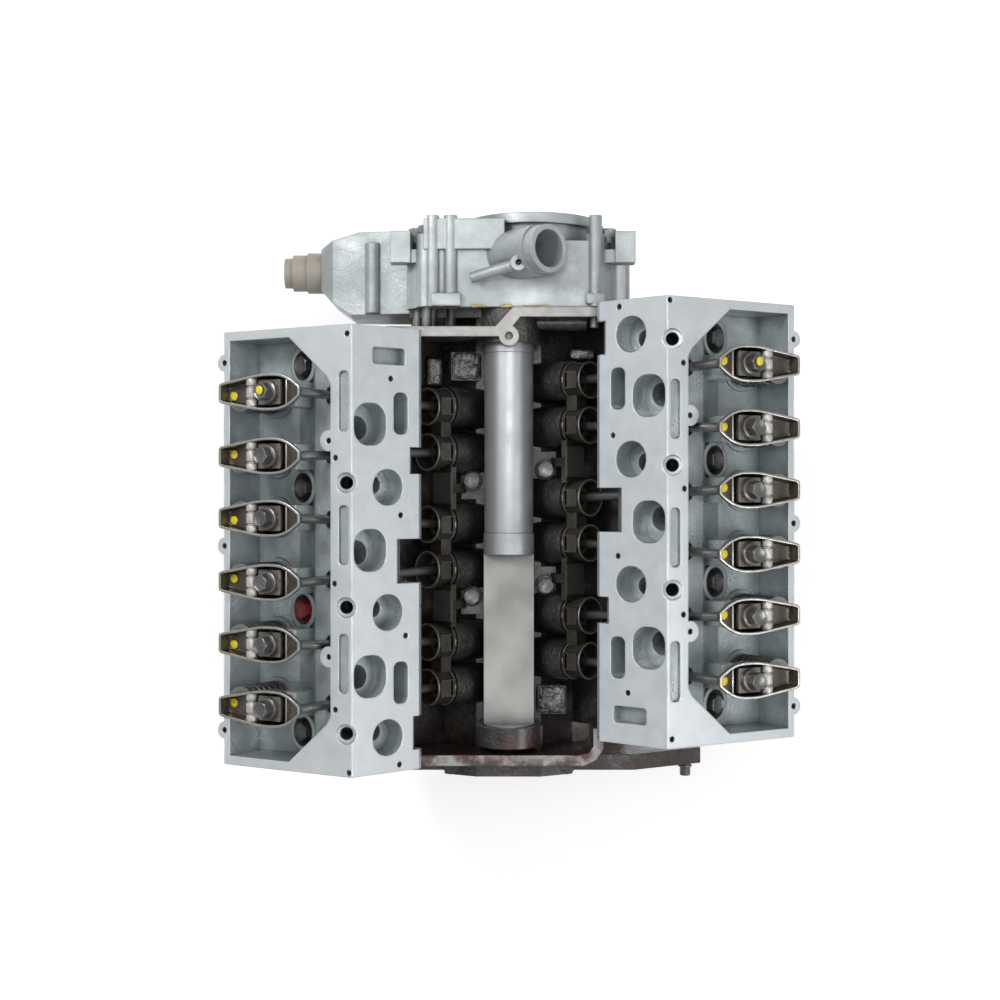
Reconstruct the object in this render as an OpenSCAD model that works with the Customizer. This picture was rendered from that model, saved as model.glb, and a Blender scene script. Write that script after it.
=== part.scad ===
// A 90 degree pushrod V6 engine without its covers, intake or damper.
// +Y points to the front, +X to the right bank, +Z up. The origin is the centre of the
// crankshaft's rear flange face. Each bank is drawn for the right side and mirrored for the left.

/* [Cylinders] */
// Cylinder bore
bore_d = 96.8; // [90:0.1:98]
// Piston stroke
stroke = 86.1; // [80:0.1:88]
// Spacing of the cylinders along the crankshaft
bore_pitch = 106.5; // [104:0.5:112]
// How far the right bank stands ahead of the left one
bank_offset = 24; // [23:0.5:26]
// Distance from the rear flange face to the middle of the engine
mid_y = 246.5; // [240:0.5:256]
// Height of the deck above the crank axis, along the bore
deck_h = 234.5; // [233:0.5:240]
// Half the angle between the banks
bank_tilt = 45; // [44:0.5:46]

/* [Crankshaft] */
// Main journal diameter
main_d = 64; // [58:0.5:66]
// Rod journal diameter
pin_d = 58.7; // [54:0.1:60]
// Length of a main journal
main_len = 26; // [22:0.5:28]
// Angle between the two pins of one throw
pin_split = 30; // [28:1:32]
// Crank angle of the first left pin past its top, at rest
rest_angle = 30; // [24:1:36]
// Diameter of the rear flange
flange_d = 90; // [86:1:96]
// Bolt circle of the rear flange
flange_pcd = 76; // [72:1:80]
// Diameter of a flange bolt hole
flange_hole_d = 10; // [8:0.5:11]
// Diameter of the front snout
snout_d = 35; // [30:0.5:38]
// Where the snout ends
snout_end = 560; // [550:1:570]

/* [Rods and pistons] */
// Connecting rod length between centres
rod_len = 150.2; // [148:0.1:152]
// Height of the crown above the gudgeon pin
crown_h = 41; // [38:0.5:41.5]
// Width of a rod's big end
rod_w = 20; // [18:0.5:20.5]
// Gudgeon pin diameter
gudgeon_d = 23.2; // [20:0.1:25]

/* [Camshaft] */
// Height of the camshaft above the crank axis
cam_z = 133.7; // [133:0.1:134.5]
// Cam journal diameter
cam_journal_d = 52; // [50:0.5:54]
// Cam base circle diameter
cam_base_d = 34; // [32:0.5:35]
// Diameter of a lifter body
lifter_d = 22.2; // [21:0.1:23]
// Spacing of a cylinder's two lifters
lifter_gap_y = 41; // [39:0.5:43]

/* [Balance shaft] */
// Height of the balance shaft above the camshaft
balance_rise = 62; // [61:0.5:64]
// Diameter of its weights
balance_d = 46; // [42:0.5:47]
// Where the rear weight begins
balance_rear = 74; // [73:1:76]
// Where the weights change sides
balance_mid = 229; // [220:1:240]
// Where the front weight ends
balance_front = 410; // [400:1:414]

/* [Valve train] */
// Lean of the valves from upright
valve_tilt = 30; // [29:0.5:31]
// Distance of a valve from its cylinder's middle, along the engine
valve_y = 27; // [26:0.25:27.5]
// Valve length
valve_len = 120; // [119:0.5:121]
// Valve lift
valve_lift = 10.6; // [9:0.1:11]
// Intake valve head diameter
intake_d = 38; // [35:0.5:38]
// Exhaust valve head diameter
exhaust_d = 34; // [31:0.5:35]
// Valve stem diameter
stem_d = 8; // [7:0.1:8.2]
// Rocker length from its pivot to the valve
rocker_out = 43; // [42:0.25:44]
// Rocker length from its pivot to the pushrod
rocker_in = 25; // [24:0.25:26]
// Width of a rocker
rocker_w = 30; // [28:0.5:31]
// Outer diameter of a valve spring
spring_d = 30; // [28:0.5:31]
// Pushrod diameter
pushrod_d = 8; // [7:0.1:8.5]

/* [Block and heads] */
// Length of a cylinder head
head_len = 380; // [376:1:382]
// Inner edge of the deck, measured across it from the bore axis
deck_in = 62; // [60:0.5:64]
// Outer edge of the deck
deck_out = 66; // [65:0.5:68]
// Rear face of the block, where the bell housing sits
block_rear = 20; // [18:1:22]
// Front face of the block
block_front = 449; // [448.5:0.5:452]
// Height of the sump rail below the crank axis
rail_z = 62; // [60:0.5:64]
// Half width of the crankcase
case_x = 118; // [116:0.5:122]
// Depth of the oil pan under its rail
pan_depth = 90; // [80:1:110]
// Front face of the front cover
cover_front = 533; // [528:1:540]
// Wall of the front cover
cover_wall = 6; // [5:0.25:7]

/* [Outlets] */
// Outer diameter of the water outlet
outlet_d = 42.6; // [40:0.1:44]
// Bore of the water outlet
outlet_bore = 33; // [30:0.5:34]

/* [Hidden] */
$fn = 64;

run = 0.05;
gap = 0.3;
throw = stroke / 2;
bore_r = bore_d / 2;
main_r = main_d / 2;
pin_r = pin_d / 2;
gasket_t = 1.2;
head_u = deck_h + gasket_t;
half_head = head_len / 2;

valve_u = 243;
valve_v = 7;
valve_x = valve_u * sin(bank_tilt) + valve_v * cos(bank_tilt);
valve_z = valve_u * cos(bank_tilt) - valve_v * sin(bank_tilt);
pad_r = 9;
pad_z = valve_len + gap + pad_r;
rocker_swing = 2 * asin(valve_lift / 2 / rocker_out);
pivot_x = -rocker_out * cos(rocker_swing / 2);
pivot_z = pad_z - valve_lift / 2;
trough_r = 15;
fulcrum_r = 11.8;
pedestal_z = pivot_z - 18;
cup_drop = 3;
cup_x = pivot_x - rocker_in * cos(rocker_swing / 2);
cup_z = pivot_z - rocker_in * sin(rocker_swing / 2) - cup_drop;
cup_world_x = valve_x + cup_x * cos(valve_tilt) + cup_z * sin(valve_tilt);
cup_world_z = valve_z - cup_x * sin(valve_tilt) + cup_z * cos(valve_tilt);
lifter_tilt = atan2(cup_world_x, cup_world_z - cam_z);
cup_r = norm([cup_world_x, cup_world_z - cam_z]);
lobe_lift = valve_lift * rocker_in / rocker_out / cos(lifter_tilt - valve_tilt);
roller_r = 9;
cam_base_r = cam_base_d / 2;
roller_at = cam_base_r + lobe_lift + gap + roller_r;
lifter_top = 90;
guide_low = 81;
guide_high = 102;
boss_r = 19;
guide_r = 17;
seat_z = 62;
spring_top = 105;
retainer_h = 6;
guide_boss_r = 8;
rail_h = 100.7;

balance_z = cam_z + balance_rise;
balance_r = balance_d / 2;
chain_pitch = 9.525;
crank_teeth = 22;
cam_teeth = 44;
links = 62;
crank_pitch_r = chain_pitch / 2 / sin(180 / crank_teeth);
cam_pitch_r = chain_pitch / 2 / sin(180 / cam_teeth);
cam_gear_teeth = 52;
balance_gear_teeth = 26;
gear_module = 2 * balance_rise / (cam_gear_teeth + balance_gear_teeth);
gear_y = block_front + 1.5;
gear_w = 6;
chain_y = gear_y + gear_w + 2;
chain_w = 8;
hub_r = 23;

bolt_r = 5.5;
bolt_hole_r = 6;
small_bolt_r = 3.9;
valley_z = 166;
wall_top = 228;
wall_t = 9;
cap_x = 50;
cap_h = 46;
cap_bolt_x = 41;
bay_x = case_x - 14;
bell_t = 15;
seal_r = flange_d / 2;
seal_t = 3;
pan_t = 3;
chamber_y = 500;
outlet_tilt = 40;
outlet_mouth = [35, 496, 257];
outlet_way = [sin(outlet_tilt), 0, cos(outlet_tilt)];
hose_seat = 12;
lug_at = [8, 484, 256];
post_xs = [-68, -52, 77];
outlet_len = 62;
plug_r = 19.5;
plug_y = 497;
plug_z = 100;
plug_x = -216;
housing_x = -179;
mount_pad_y = 250;
mount_hole_y = 80;
mount_hole_z = 50;

cover_outline = [[-62, -rail_z], [62, -rail_z], [74, 20], [108, 70], [112, 150], [96, 205], [80, 226],
    [-78, 226], [-90, 205], [-92, 100], [-74, 20]];

function train_name(side, what, n) = str(side > 0 ? "right_" : "left_", what, "_", n);
function bank_y(side) = mid_y + side * bank_offset / 2;
function bore_y(side, i) = bank_y(side) + (i - 1) * bore_pitch;
function main_y(i) = mid_y + (i - 1.5) * bore_pitch;
function train_y(side, n, reach) = bore_y(side, 2 - floor((n - 1) / 2)) + (n % 2 == 1 ? reach : -reach);
function is_intake(side, n) = (n % 2 == 1) == (side > 0);
function crank_phase(side, i) = side < 0 ? rest_angle + 120 * i : rest_angle + 120 * i - 90 + pin_split;
function pin_angle(side, i) = crank_phase(side, i) + side * bank_tilt;
function own_phase(side, i) = side * crank_phase(side, i);
function rod_lean(side, i) = asin(throw * sin(own_phase(side, i)) / rod_len);
function piston_u(side, i) = throw * cos(own_phase(side, i)) + rod_len * cos(rod_lean(side, i));
function unit(v) = v / norm(v);
function inward(a, b) = let (d = unit(b - a)) [-d.y, d.x];
function inset(points, d) = [for (i = [0 : len(points) - 1])
    let (a = points[(i + len(points) - 1) % len(points)], b = points[i],
         c = points[(i + 1) % len(points)], n1 = inward(a, b), n2 = inward(b, c))
    b + (n1 + n2) * d / (1 + n1 * n2)];

// Extrudes an X-Z outline along Y, from y0 to y1
module slab(y0, y1) { translate([0, y1, 0]) rotate([90, 0, 0]) linear_extrude(y1 - y0) children(); }
module rod_y(y0, y1, r, at = [0, 0]) {
    translate([at.x, y0, at.y]) rotate([-90, 0, 0]) cylinder(h = y1 - y0, r = r);
}
module on_bank(side) { if (side > 0) children(); else mirror([1, 0, 0]) children(); }
module bore_frame(y) { translate([0, y, 0]) rotate([0, bank_tilt, 0]) children(); }
module valve_frame(y) { translate([valve_x, y, valve_z]) rotate([0, valve_tilt, 0]) children(); }
module lifter_frame(y) { translate([0, y, cam_z]) rotate([0, lifter_tilt, 0]) children(); }
module each_train() { for (side = [-1, 1], n = [1 : 6]) on_bank(side) { $side = side; $n = n; children(); } }
module hex_head(flats, h) { cylinder(h = h, r = flats / 2 / cos(30), $fn = 6); }

// Places of a head's bolts on the deck: four in the cavity, four outside the rail
inner_bolt_v = -50;
outer_bolt_v = 58;
// Heights of their seats above the deck
inner_seat_rise = 58.5;
outer_seat_rise = 27.5;
inner_seat_u = deck_h + inner_seat_rise;
outer_seat_u = deck_h + outer_seat_rise;
bolt_reach = 54.5;
bolt_steps = [-1.5, -0.5, 0.5, 1.5];

module head_bolt_places() {
    for (s = bolt_steps, row = [[inner_bolt_v, inner_seat_u], [outer_bolt_v, outer_seat_u]])
        translate([row[0], s * bore_pitch, 0]) { $seat = row[1]; children(); }
}

module cylinder_block() color([0.22, 0.23, 0.24]) difference() {
    union() {
        for (side = [-1, 1]) on_bank(side) bore_frame(bank_y(side))
            translate([-deck_in, -half_head, 80]) cube([deck_in + deck_out, head_len, deck_h - 80]);
        slab(block_rear, block_front) polygon([[-case_x, -rail_z], [case_x, -rail_z], [case_x, 26],
            [60, 110], [60, 150], [30, valley_z], [-30, valley_z], [-60, 150], [-60, 110], [-case_x, 26]]);
        slab(block_rear, block_rear + bell_t) polygon([[-150, -rail_z], [150, -rail_z], [188, 10],
            [188, 90], [120, 130], [-120, 130], [-188, 90], [-188, 10]]);
        intersection() {
            slab(block_rear, block_front) polygon([[-108, wall_top], [108, wall_top], [119, 215], [119, 206],
                [45, 130], [-45, 130], [-119, 206], [-119, 215]]);
            linear_extrude(wall_top) valley_walls();
        }
        slab(block_front - plate_t, block_front)
            polygon([for (p = cover_outline) [p.x, p.x < 0 ? min(p.y, ledge_z) : p.y]]);
        for (x = [-69, -52]) rod_y(block_front - 22, block_front, 5, [x, ledge_z]);
        translate([12, block_front - 12, 205]) rotate([0, 90, 0]) cylinder(h = 58, r = 7);
        for (side = [-1, 1]) {
            translate([side * 40 - 13, mid_y + side * -154 - 13, valley_z - 12]) cube([26, 26, 20]);
            rod_y(block_rear - 9, block_rear + bell_t, 6, [side * 178, 48]);
            translate([side * 52, 38, 150]) cylinder(h = 66, r = 7);
        }
        rod_y(balance_rear - 19, balance_rear - 1, balance_r + 8, [0, balance_z]);
        rod_y(balance_front + 8, block_front, balance_r + 7, [0, balance_z]);
        for (y = [balance_rear - 19, balance_front + 8]) translate([-24, y, valley_z - 10])
            cube([48, 18, balance_rise - 30]);
        each_train() lifter_frame(train_y($side, $n, lifter_gap_y / 2))
            translate([0, 0, 30]) cylinder(h = guide_low - 30, r = boss_r);
        for (side = [-1, 1]) on_bank(side) translate([case_x - 6, mount_pad_y - 55, -40])
            cube([14, 110, 80]);
    }
    for (side = [-1, 1], i = [0 : 2]) on_bank(side) bore_frame(bore_y(side, i))
        translate([0, 0, 55]) cylinder(h = deck_h, r = bore_r);
    for (i = [0 : 2]) slab(main_y(i) + main_len / 2 - 0.5, main_y(i + 1) - main_len / 2 + 0.5)
        polygon([[-bay_x, -rail_z - 1], [bay_x, -rail_z - 1], [bay_x, 30], [62, 78], [30, 96],
            [-30, 96], [-62, 78], [-bay_x, 30]]);
    translate([-bay_x, main_y(0) - main_len / 2, -rail_z - 1])
        cube([2 * bay_x, 3 * bore_pitch + main_len, rail_z + 1]);
    rod_y(block_rear - 1, block_front + 1, main_r + run);
    rod_y(block_rear - 1, block_rear + 24, seal_r + 4);
    rod_y(block_rear + 24, block_front + 1, cam_journal_d / 2 + run, [0, cam_z]);
    rod_y(block_rear + 25, block_front + 1, balance_r + run, [0, balance_z]);
    each_train() lifter_frame(train_y($side, $n, lifter_gap_y / 2)) cylinder(h = 120, r = lifter_d / 2 + run);
    for (side = [-1, 1]) on_bank(side) bore_frame(bank_y(side)) head_bolt_places()
        translate([0, 0, 178]) cylinder(h = 100, r = bolt_hole_r);
    for (i = [0 : 3], x = [-cap_bolt_x, cap_bolt_x]) translate([x, main_y(i), -1])
        cylinder(h = 46, r = bolt_hole_r);
    translate([0, tab_y, valley_z + 20]) cylinder(h = 60, r = 3.5);
    for (p = retainer_places()) translate([p.x, p.y, valley_z]) {
        cylinder(h = 40, r = 10);
        translate([0, 0, -24]) cylinder(h = 60, r = small_bolt_r + run);
    }
    for (side = [-1, 1], dy = [-0.5, 0.5], dz = [-0.5, 0.5]) on_bank(side)
        translate([case_x - 14, mount_pad_y + dy * mount_hole_y, dz * mount_hole_z])
            rotate([0, 90, 0]) cylinder(h = 40, r = 5);
    for (x = [-170, 170], z = [20, 75]) rod_y(block_rear - 1, block_rear + bell_t + 1, 5.5, [x, z]);
    cover_bolt_places() rod_y(block_front - 20, block_front + 1, small_bolt_r + run);
}

tab_y = 423;
plate_t = 8;
ledge_z = 206;
// Plan of the two rails that close the valley: the front one steps with the banks
module valley_walls() {
    polygon([[-130, 431.5], [-12, 431.5], [4, block_front], [130, block_front], [130, block_front - wall_t],
        [10, block_front - wall_t], [-4, 431.5 - wall_t], [-130, 431.5 - wall_t]]);
    polygon([[-130, 40.5], [66, 40.5], [78, 46], [84, 56], [84, 74], [75, 74], [75, 58], [71, 52], [62, 50], [-130, 50]]);
    translate([0, tab_y]) circle(r = 9);
}

module head_gaskets() color([0.25, 0.25, 0.27])
    for (side = [-1, 1]) on_bank(side) bore_frame(bank_y(side)) difference() {
        translate([-deck_in, -half_head, deck_h]) cube([deck_in + deck_out, head_len, gasket_t]);
        for (i = [-1 : 1]) translate([0, i * bore_pitch, deck_h - 1]) cylinder(h = gasket_t + 2, r = bore_r + 1);
        head_bolt_places() translate([0, 0, deck_h - 1]) cylinder(h = gasket_t + 2, r = bolt_hole_r);
    }

module head_bolts() color([0.4, 0.4, 0.42])
    for (side = [-1, 1]) on_bank(side) bore_frame(bank_y(side)) head_bolt_places() {
        translate([0, 0, deck_h - bolt_reach]) cylinder(h = bolt_reach - 14.5, r = bolt_hole_r - run);
        translate([0, 0, deck_h - 15.5]) cylinder(h = $seat - deck_h + 15.5, r = bolt_r);
        translate([0, 0, $seat]) { cylinder(h = 2.5, r = 10.5); hex_head(15, 11); }
    }

head_in = [76.5, 257];
intake_low = [78, 264];
ridge = [132, 309];
rail_out = [250, 241];
intake_normal = unit([ridge.y - intake_low.y, intake_low.x - ridge.x]) * -1;
intake_tilt = atan2(intake_normal.x, intake_normal.y);

// Stands on the intake face: x runs down the face to the valley, z out of it
module intake_frame(y, x) {
    along = (x - intake_low.x) / (ridge.x - intake_low.x);
    translate([x, y, intake_low.y + along * (ridge.y - intake_low.y)]) rotate([0, intake_tilt, 0]) children();
}
module rounded(w, l, r) {
    square([w - 2 * r, l], center = true);
    square([w, l - 2 * r], center = true);
    for (x = [-1, 1], y = [-1, 1]) translate([x * (w / 2 - r), y * (l / 2 - r)]) circle(r = r);
}
module between(a, b, r) {
    d = b - a;
    translate(a) rotate([0, acos(d.z / norm(d)), atan2(d.y, d.x)]) cylinder(h = norm(d), r = r);
}

big_port_x = 117.5;
small_port_x = 103.5;
water_x = 93;
water_ys = [-116.5, 114];
manifold_bolt_x = 137;

// Small threaded holes of the casting: [x, y] on the intake face, then on the cover rail
face_holes = [[94, 184], [89, 74], [93, -29.5], [101, -146]];
rail_holes = [[-107, 186], [-93, 134], [-86, 90], [-92, 28], [-93, -78], [-86, -92.5], [-105, -182]];
// Notches in the edge over the valley: [x reached, y from, y to]
edge_notches = [[83, 144, 173], [96, -9, 29], [85.6, -88, -65]];
ear_ys = [-163, -2, 160];
cavity_plan = [[21, -182], [21, 182], [-44, 182], [-84, 147], [-88, 140], [-88, -140], [-84, -147], [-44, -182]];
boss_top_u = inner_seat_u + 12;
seat_pad_r = 18;

module rocker_spots() { for (i = [-1 : 1], s = [-1, 1]) valve_frame(i * bore_pitch + s * valve_y) children(); }

// The open pocket under the valve cover, with the bosses that stand in it
module head_cavity() difference() {
    intersection() {
        valve_frame(0) translate([0, 0, 40]) linear_extrude(100) polygon(cavity_plan);
        valve_frame(0) translate([0, half_head, 0]) rotate([90, 0, 0]) linear_extrude(head_len)
            polygon([[-90, rail_h + 30], [22, rail_h + 30], [22, seat_z - 3], [-24, seat_z - 3], [-40, 67],
                [-56, 79], [-90, 90]]);
    }
    rocker_spots() {
        translate([pivot_x - 9, -11, 40]) cube([18, 22, pedestal_z - 40]);
        cylinder(h = seat_z, r = seat_pad_r);
        cylinder(h = seat_z + 12, r = guide_boss_r);
    }
    bore_frame(0) for (s = bolt_steps) translate([inner_bolt_v, s * bore_pitch, 200])
        cylinder(h = boss_top_u - 200, r = 17);
    for (h = rail_holes) if (h.x > -90) valve_frame(h.y) translate([h.x, 0, 60]) cylinder(h = rail_h - 60, r = 9);
}

// The casting, drawn for the right bank about its own middle
module head_casting() difference() {
    union() {
        slab(-half_head, half_head) polygon([head_in, intake_low, ridge, rail_out, [252, 236], [240, 190],
            bore_point(head_u, 72), bore_point(head_u, -deck_in), bore_point(head_u + 9, -deck_in - 6)]);
        for (y = ear_ys) valve_frame(y) translate([27, 0, rail_h - 12]) cylinder(h = 12, r = 7.5);
        for (i = [-1 : 1], s = [-1, 1]) translate([0, i * bore_pitch - valve_y, 0]) translate([222, -30, 150])
            cube([18, 60, 48]);
    }
    head_cavity();
    for (h = face_holes) intake_frame(h.y, h.x) translate([0, 0, -12]) cylinder(h = 20, r = 2.5);
    for (h = rail_holes) valve_frame(h.y) translate([h.x, 0, rail_h - 14]) cylinder(h = 20, r = 2.5);
    for (y = ear_ys) valve_frame(y) translate([27, 0, rail_h - 14]) cylinder(h = 20, r = 2.6);
    for (n = edge_notches) translate([60, n[1], 240]) cube([n[0] - 60, n[2] - n[1], 60]);
    for (seg = [[-151, -100], [-38, 12], [70, 120]]) valve_frame((seg[0] + seg[1]) / 2)
        translate([-101.5, 0, rail_h - 3]) linear_extrude(10) rounded(10, seg[1] - seg[0], 4);
    for (i = [-1 : 1], s = [-1, 1]) {
        y = i * bore_pitch + s * valve_y;
        head_r = (s > 0 ? intake_d : exhaust_d) / 2;
        valve_frame(y) {
            cylinder(h = 200, r = stem_d / 2 + run);
            translate([0, 0, -20]) cylinder(h = 24, r = head_r + 0.5);
            translate([0, 0, 2]) cylinder(h = 28, r = head_r - 3);
            translate([pivot_x, 0, pedestal_z - 30]) cylinder(h = 60, r = small_bolt_r + run);
        }
        between(lifter_point(lifter_top, i * bore_pitch + s * lifter_gap_y / 2),
            lifter_point(cup_r, y), pushrod_d / 2 + 3.5);
    }
    for (i = [-1 : 1]) {
        bore = i * bore_pitch;
        throat = valve_point(bore + valve_y, 22);
        intersection() {
            bore_frame(bore) translate([0, 0, head_u - 1]) cylinder(h = 40, r = bore_r - 2);
            valve_frame(bore) translate([-80, -60, -60]) cube([160, 120, 60]);
        }
        intake_frame(bore, big_port_x) translate([0, 0, -22]) linear_extrude(40) rounded(33, 36, 14);
        intake_frame(bore + bore_pitch / 2, small_port_x) translate([0, 0, -22])
            linear_extrude(40) rounded(31, 31, 15);
        between(face_point(bore, big_port_x), throat, 10);
        between(face_point(bore + bore_pitch / 2, small_port_x), throat, 7.5);
        between(valve_point(bore - valve_y, 22), [260, bore - valve_y, 172], 13);
    }
    for (y = water_ys) intake_frame(y, water_x) translate([0, 0, -30])
        linear_extrude(50) rounded(15, 36, 6);
    intake_frame(-165, 102.6) translate([0, 0, -10]) linear_extrude(40) rounded(34, 14.5, 3);
    for (y = [-57, 47.8, 154]) translate([manifold_bolt_x, y, 0]) {
        cylinder(h = 400, r = 5.5);
        translate([0, 0, 301]) cylinder(h = 100, r = 8.5);
    }
    bore_frame(0) head_bolt_places() {
        translate([0, 0, 200]) cylinder(h = 200, r = bolt_hole_r);
        translate([0, 0, $seat]) cylinder(h = 200, r = 13);
    }
}
function bore_point(u, v) = [u * sin(bank_tilt) + v * cos(bank_tilt), u * cos(bank_tilt) - v * sin(bank_tilt)];
function valve_point(y, h) = [valve_x + h * sin(valve_tilt), y, valve_z + h * cos(valve_tilt)];
function lifter_point(r, y) = [r * sin(lifter_tilt), y, cam_z + r * cos(lifter_tilt)];
function face_point(y, x) = [x, y, intake_low.y + (x - intake_low.x) / (ridge.x - intake_low.x)
    * (ridge.y - intake_low.y)] - 12 * [intake_normal.x, 0, intake_normal.y];

module right_head() color([0.66, 0.70, 0.72]) translate([0, bank_y(1), 0]) head_casting();
module left_head() color([0.66, 0.70, 0.72]) translate([0, bank_y(-1), 0]) rotate([0, 0, 180]) head_casting();

web_r = 74;
module crank_throw(side, i) {
    y = mid_y + (i - 1) * bore_pitch + side * bank_offset / 2;
    web = bore_pitch / 2 - main_len / 2 - bank_offset / 2 - rod_w / 2 - 0.25;
    outer = side * (rod_w / 2 + 0.25 + web / 2);
    translate([0, y, 0]) rotate([0, pin_angle(side, i), 0]) {
        rod_y(-rod_w / 2 - 0.25, rod_w / 2 + 0.25, pin_r, [0, throw]);
        slab(outer - web / 2, outer + web / 2) {
            translate([0, throw]) circle(r = pin_r + 7);
            circle(r = main_r + 12);
            translate([-pin_r, 0]) square([2 * pin_r, throw]);
            intersection() {
                circle(r = web_r);
                translate([-66, -web_r]) square([132, web_r - 10]);
            }
        }
    }
}

module crankshaft() color([0.5, 0.5, 0.52]) difference() {
    union() {
        rod_y(0, block_rear + 23, seal_r);
        for (i = [0 : 3]) rod_y(main_y(i) - main_len / 2, main_y(i) + main_len / 2, main_r);
        rod_y(block_rear + 22, main_y(0) - main_len / 2, main_r - 1);
        for (i = [0 : 2], side = [-1, 1]) crank_throw(side, i);
        for (i = [0 : 2]) rotate([0, pin_angle(-1, i) + pin_split / 2, 0])
            rod_y(bore_y(-1, i) + rod_w / 2 + 0.25, bore_y(1, i) - rod_w / 2 - 0.25, pin_r + 13, [0, throw]);
        rod_y(main_y(3) + main_len / 2, block_front, main_r - 2);
        rod_y(block_front, chamber_y + 16, hub_r);
        rod_y(chamber_y + 16, snout_end, snout_d / 2);
    }
    for (a = [0 : 60 : 300]) rotate([0, a, 0])
        rod_y(-1, 22, flange_hole_d / 2, [0, flange_pcd / 2]);
    rod_y(-1, 14, 16);
    rod_y(snout_end - 40, snout_end + 1, 6);
    translate([-3, chamber_y + 24, snout_d / 2 - 4]) cube([6, snout_end, 10]);
}

tooth_h = 1.2;
roller_chain_r = 2.4;
module sprocket(teeth, r, thick, inner) linear_extrude(thick) difference() {
    circle(r = r + tooth_h);
    for (k = [0 : teeth - 1]) rotate(k * 360 / teeth) translate([0, r]) circle(r = 3.2);
    circle(r = inner);
}
module crank_sprocket() color([0.45, 0.46, 0.48]) translate([0, chain_y + chain_w / 2 + 2.5, 0]) {
    rotate([90, 0, 0]) rotate(180) sprocket(crank_teeth, crank_pitch_r, 5, hub_r);
    rotate([90, 0, 0]) translate([0, 0, -6]) linear_extrude(6) difference() { circle(r = 28); circle(r = hub_r); }
}
module cam_sprocket() color([0.45, 0.46, 0.48]) difference() {
    translate([0, chain_y + chain_w / 2 + 2.5, cam_z]) rotate([90, 0, 0])
        sprocket(cam_teeth, cam_pitch_r, 5, cam_nose_r);
    for (a = [0 : 60 : 300]) translate([0, 0, cam_z]) rotate([0, a, 0])
        rod_y(chain_y - 5, chain_y + 20, 9, [0, 42]);
}
cam_nose_r = 14;

// Centre distance and tangent angle of the chain's two straight runs
chain_lean = asin((cam_pitch_r - crank_pitch_r) / cam_z);
module chain_loop(d) {
    translate([0, cam_z]) circle(r = cam_pitch_r + d);
    circle(r = crank_pitch_r + d);
    polygon([for (p = [[cam_z, cam_pitch_r, 1], [cam_z, cam_pitch_r, -1], [0, crank_pitch_r, -1],
        [0, crank_pitch_r, 1]]) [p[2] * (p[1] + d) * cos(chain_lean), p[0] + (p[1] + d) * -sin(-chain_lean)]]);
}
arc_cam = (90 + chain_lean) * PI / 180 * cam_pitch_r;
run_len = cam_z * cos(chain_lean);
// Point on the right half of the loop at a distance from its top, as far as its bottom
function half_loop(s) =
    s < arc_cam ? [cam_pitch_r * sin(s / cam_pitch_r * 180 / PI), cam_z + cam_pitch_r * cos(s / cam_pitch_r * 180 / PI)]
    : s < arc_cam + run_len ? let (t = s - arc_cam, e = 90 + chain_lean)
        [cam_pitch_r * sin(e) - t * sin(chain_lean), cam_z + cam_pitch_r * cos(e) - t * cos(chain_lean)]
    : let (e = 90 + chain_lean + (s - arc_cam - run_len) / crank_pitch_r * 180 / PI)
        [crank_pitch_r * sin(e), crank_pitch_r * cos(e)];
half_len = arc_cam + run_len + (90 - chain_lean) * PI / 180 * crank_pitch_r;
module timing_chain() color([0.35, 0.35, 0.36]) {
    for (y = [chain_y, chain_y + chain_w - 1.2]) slab(y, y + 1.2) difference() { chain_loop(4); chain_loop(-4); }
    for (k = [0 : links - 1]) {
        s = k * 2 * half_len / links;
        p = s <= half_len ? half_loop(s) : half_loop(2 * half_len - s);
        rod_y(chain_y + 1, chain_y + chain_w - 1, roller_chain_r, [s <= half_len ? p.x : -p.x, p.y]);
    }
}

module gear(teeth, thick, inner, turn = 0) linear_extrude(thick) difference() {
    r = teeth * gear_module / 2;
    rotate(turn) polygon([for (k = [0 : teeth - 1], c = [[-0.29, -1.9], [-0.13, 1.2], [0.13, 1.2], [0.29, -1.9]])
        let (a = 90 + (k + c[0]) * 360 / teeth) (r + c[1]) * [cos(a), sin(a)]]);
    circle(r = inner);
}

module camshaft() color([0.4, 0.4, 0.42]) {
    translate([0, 0, cam_z]) {
        rod_y(block_rear + 30, block_front, 15);
        for (i = [0 : 3]) rod_y(main_y(i) - 12, main_y(i) + 12, cam_journal_d / 2);
        rod_y(block_front - 1, chain_y + 12, cam_nose_r);
        translate([0, gear_y + gear_w, 0]) rotate([90, 0, 0]) gear(cam_gear_teeth, gear_w, cam_nose_r - 1);
    }
    for (side = [-1, 1], n = [1 : 6]) translate([0, train_y(side, n, lifter_gap_y / 2), cam_z])
        rotate([0, side * lifter_tilt + 37 * n + 180, 0]) translate([0, 6, 0]) rotate([90, 0, 0])
            linear_extrude(12) {
                circle(r = cam_base_r);
                translate([0, lobe_lift + 5]) circle(r = cam_base_r - 5);
                polygon([[-cam_base_r + 1, 4], [cam_base_r - 1, 4], [cam_base_r - 5.2, lobe_lift + 6],
                    [-cam_base_r + 5.2, lobe_lift + 6]]);
            }
}

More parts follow.
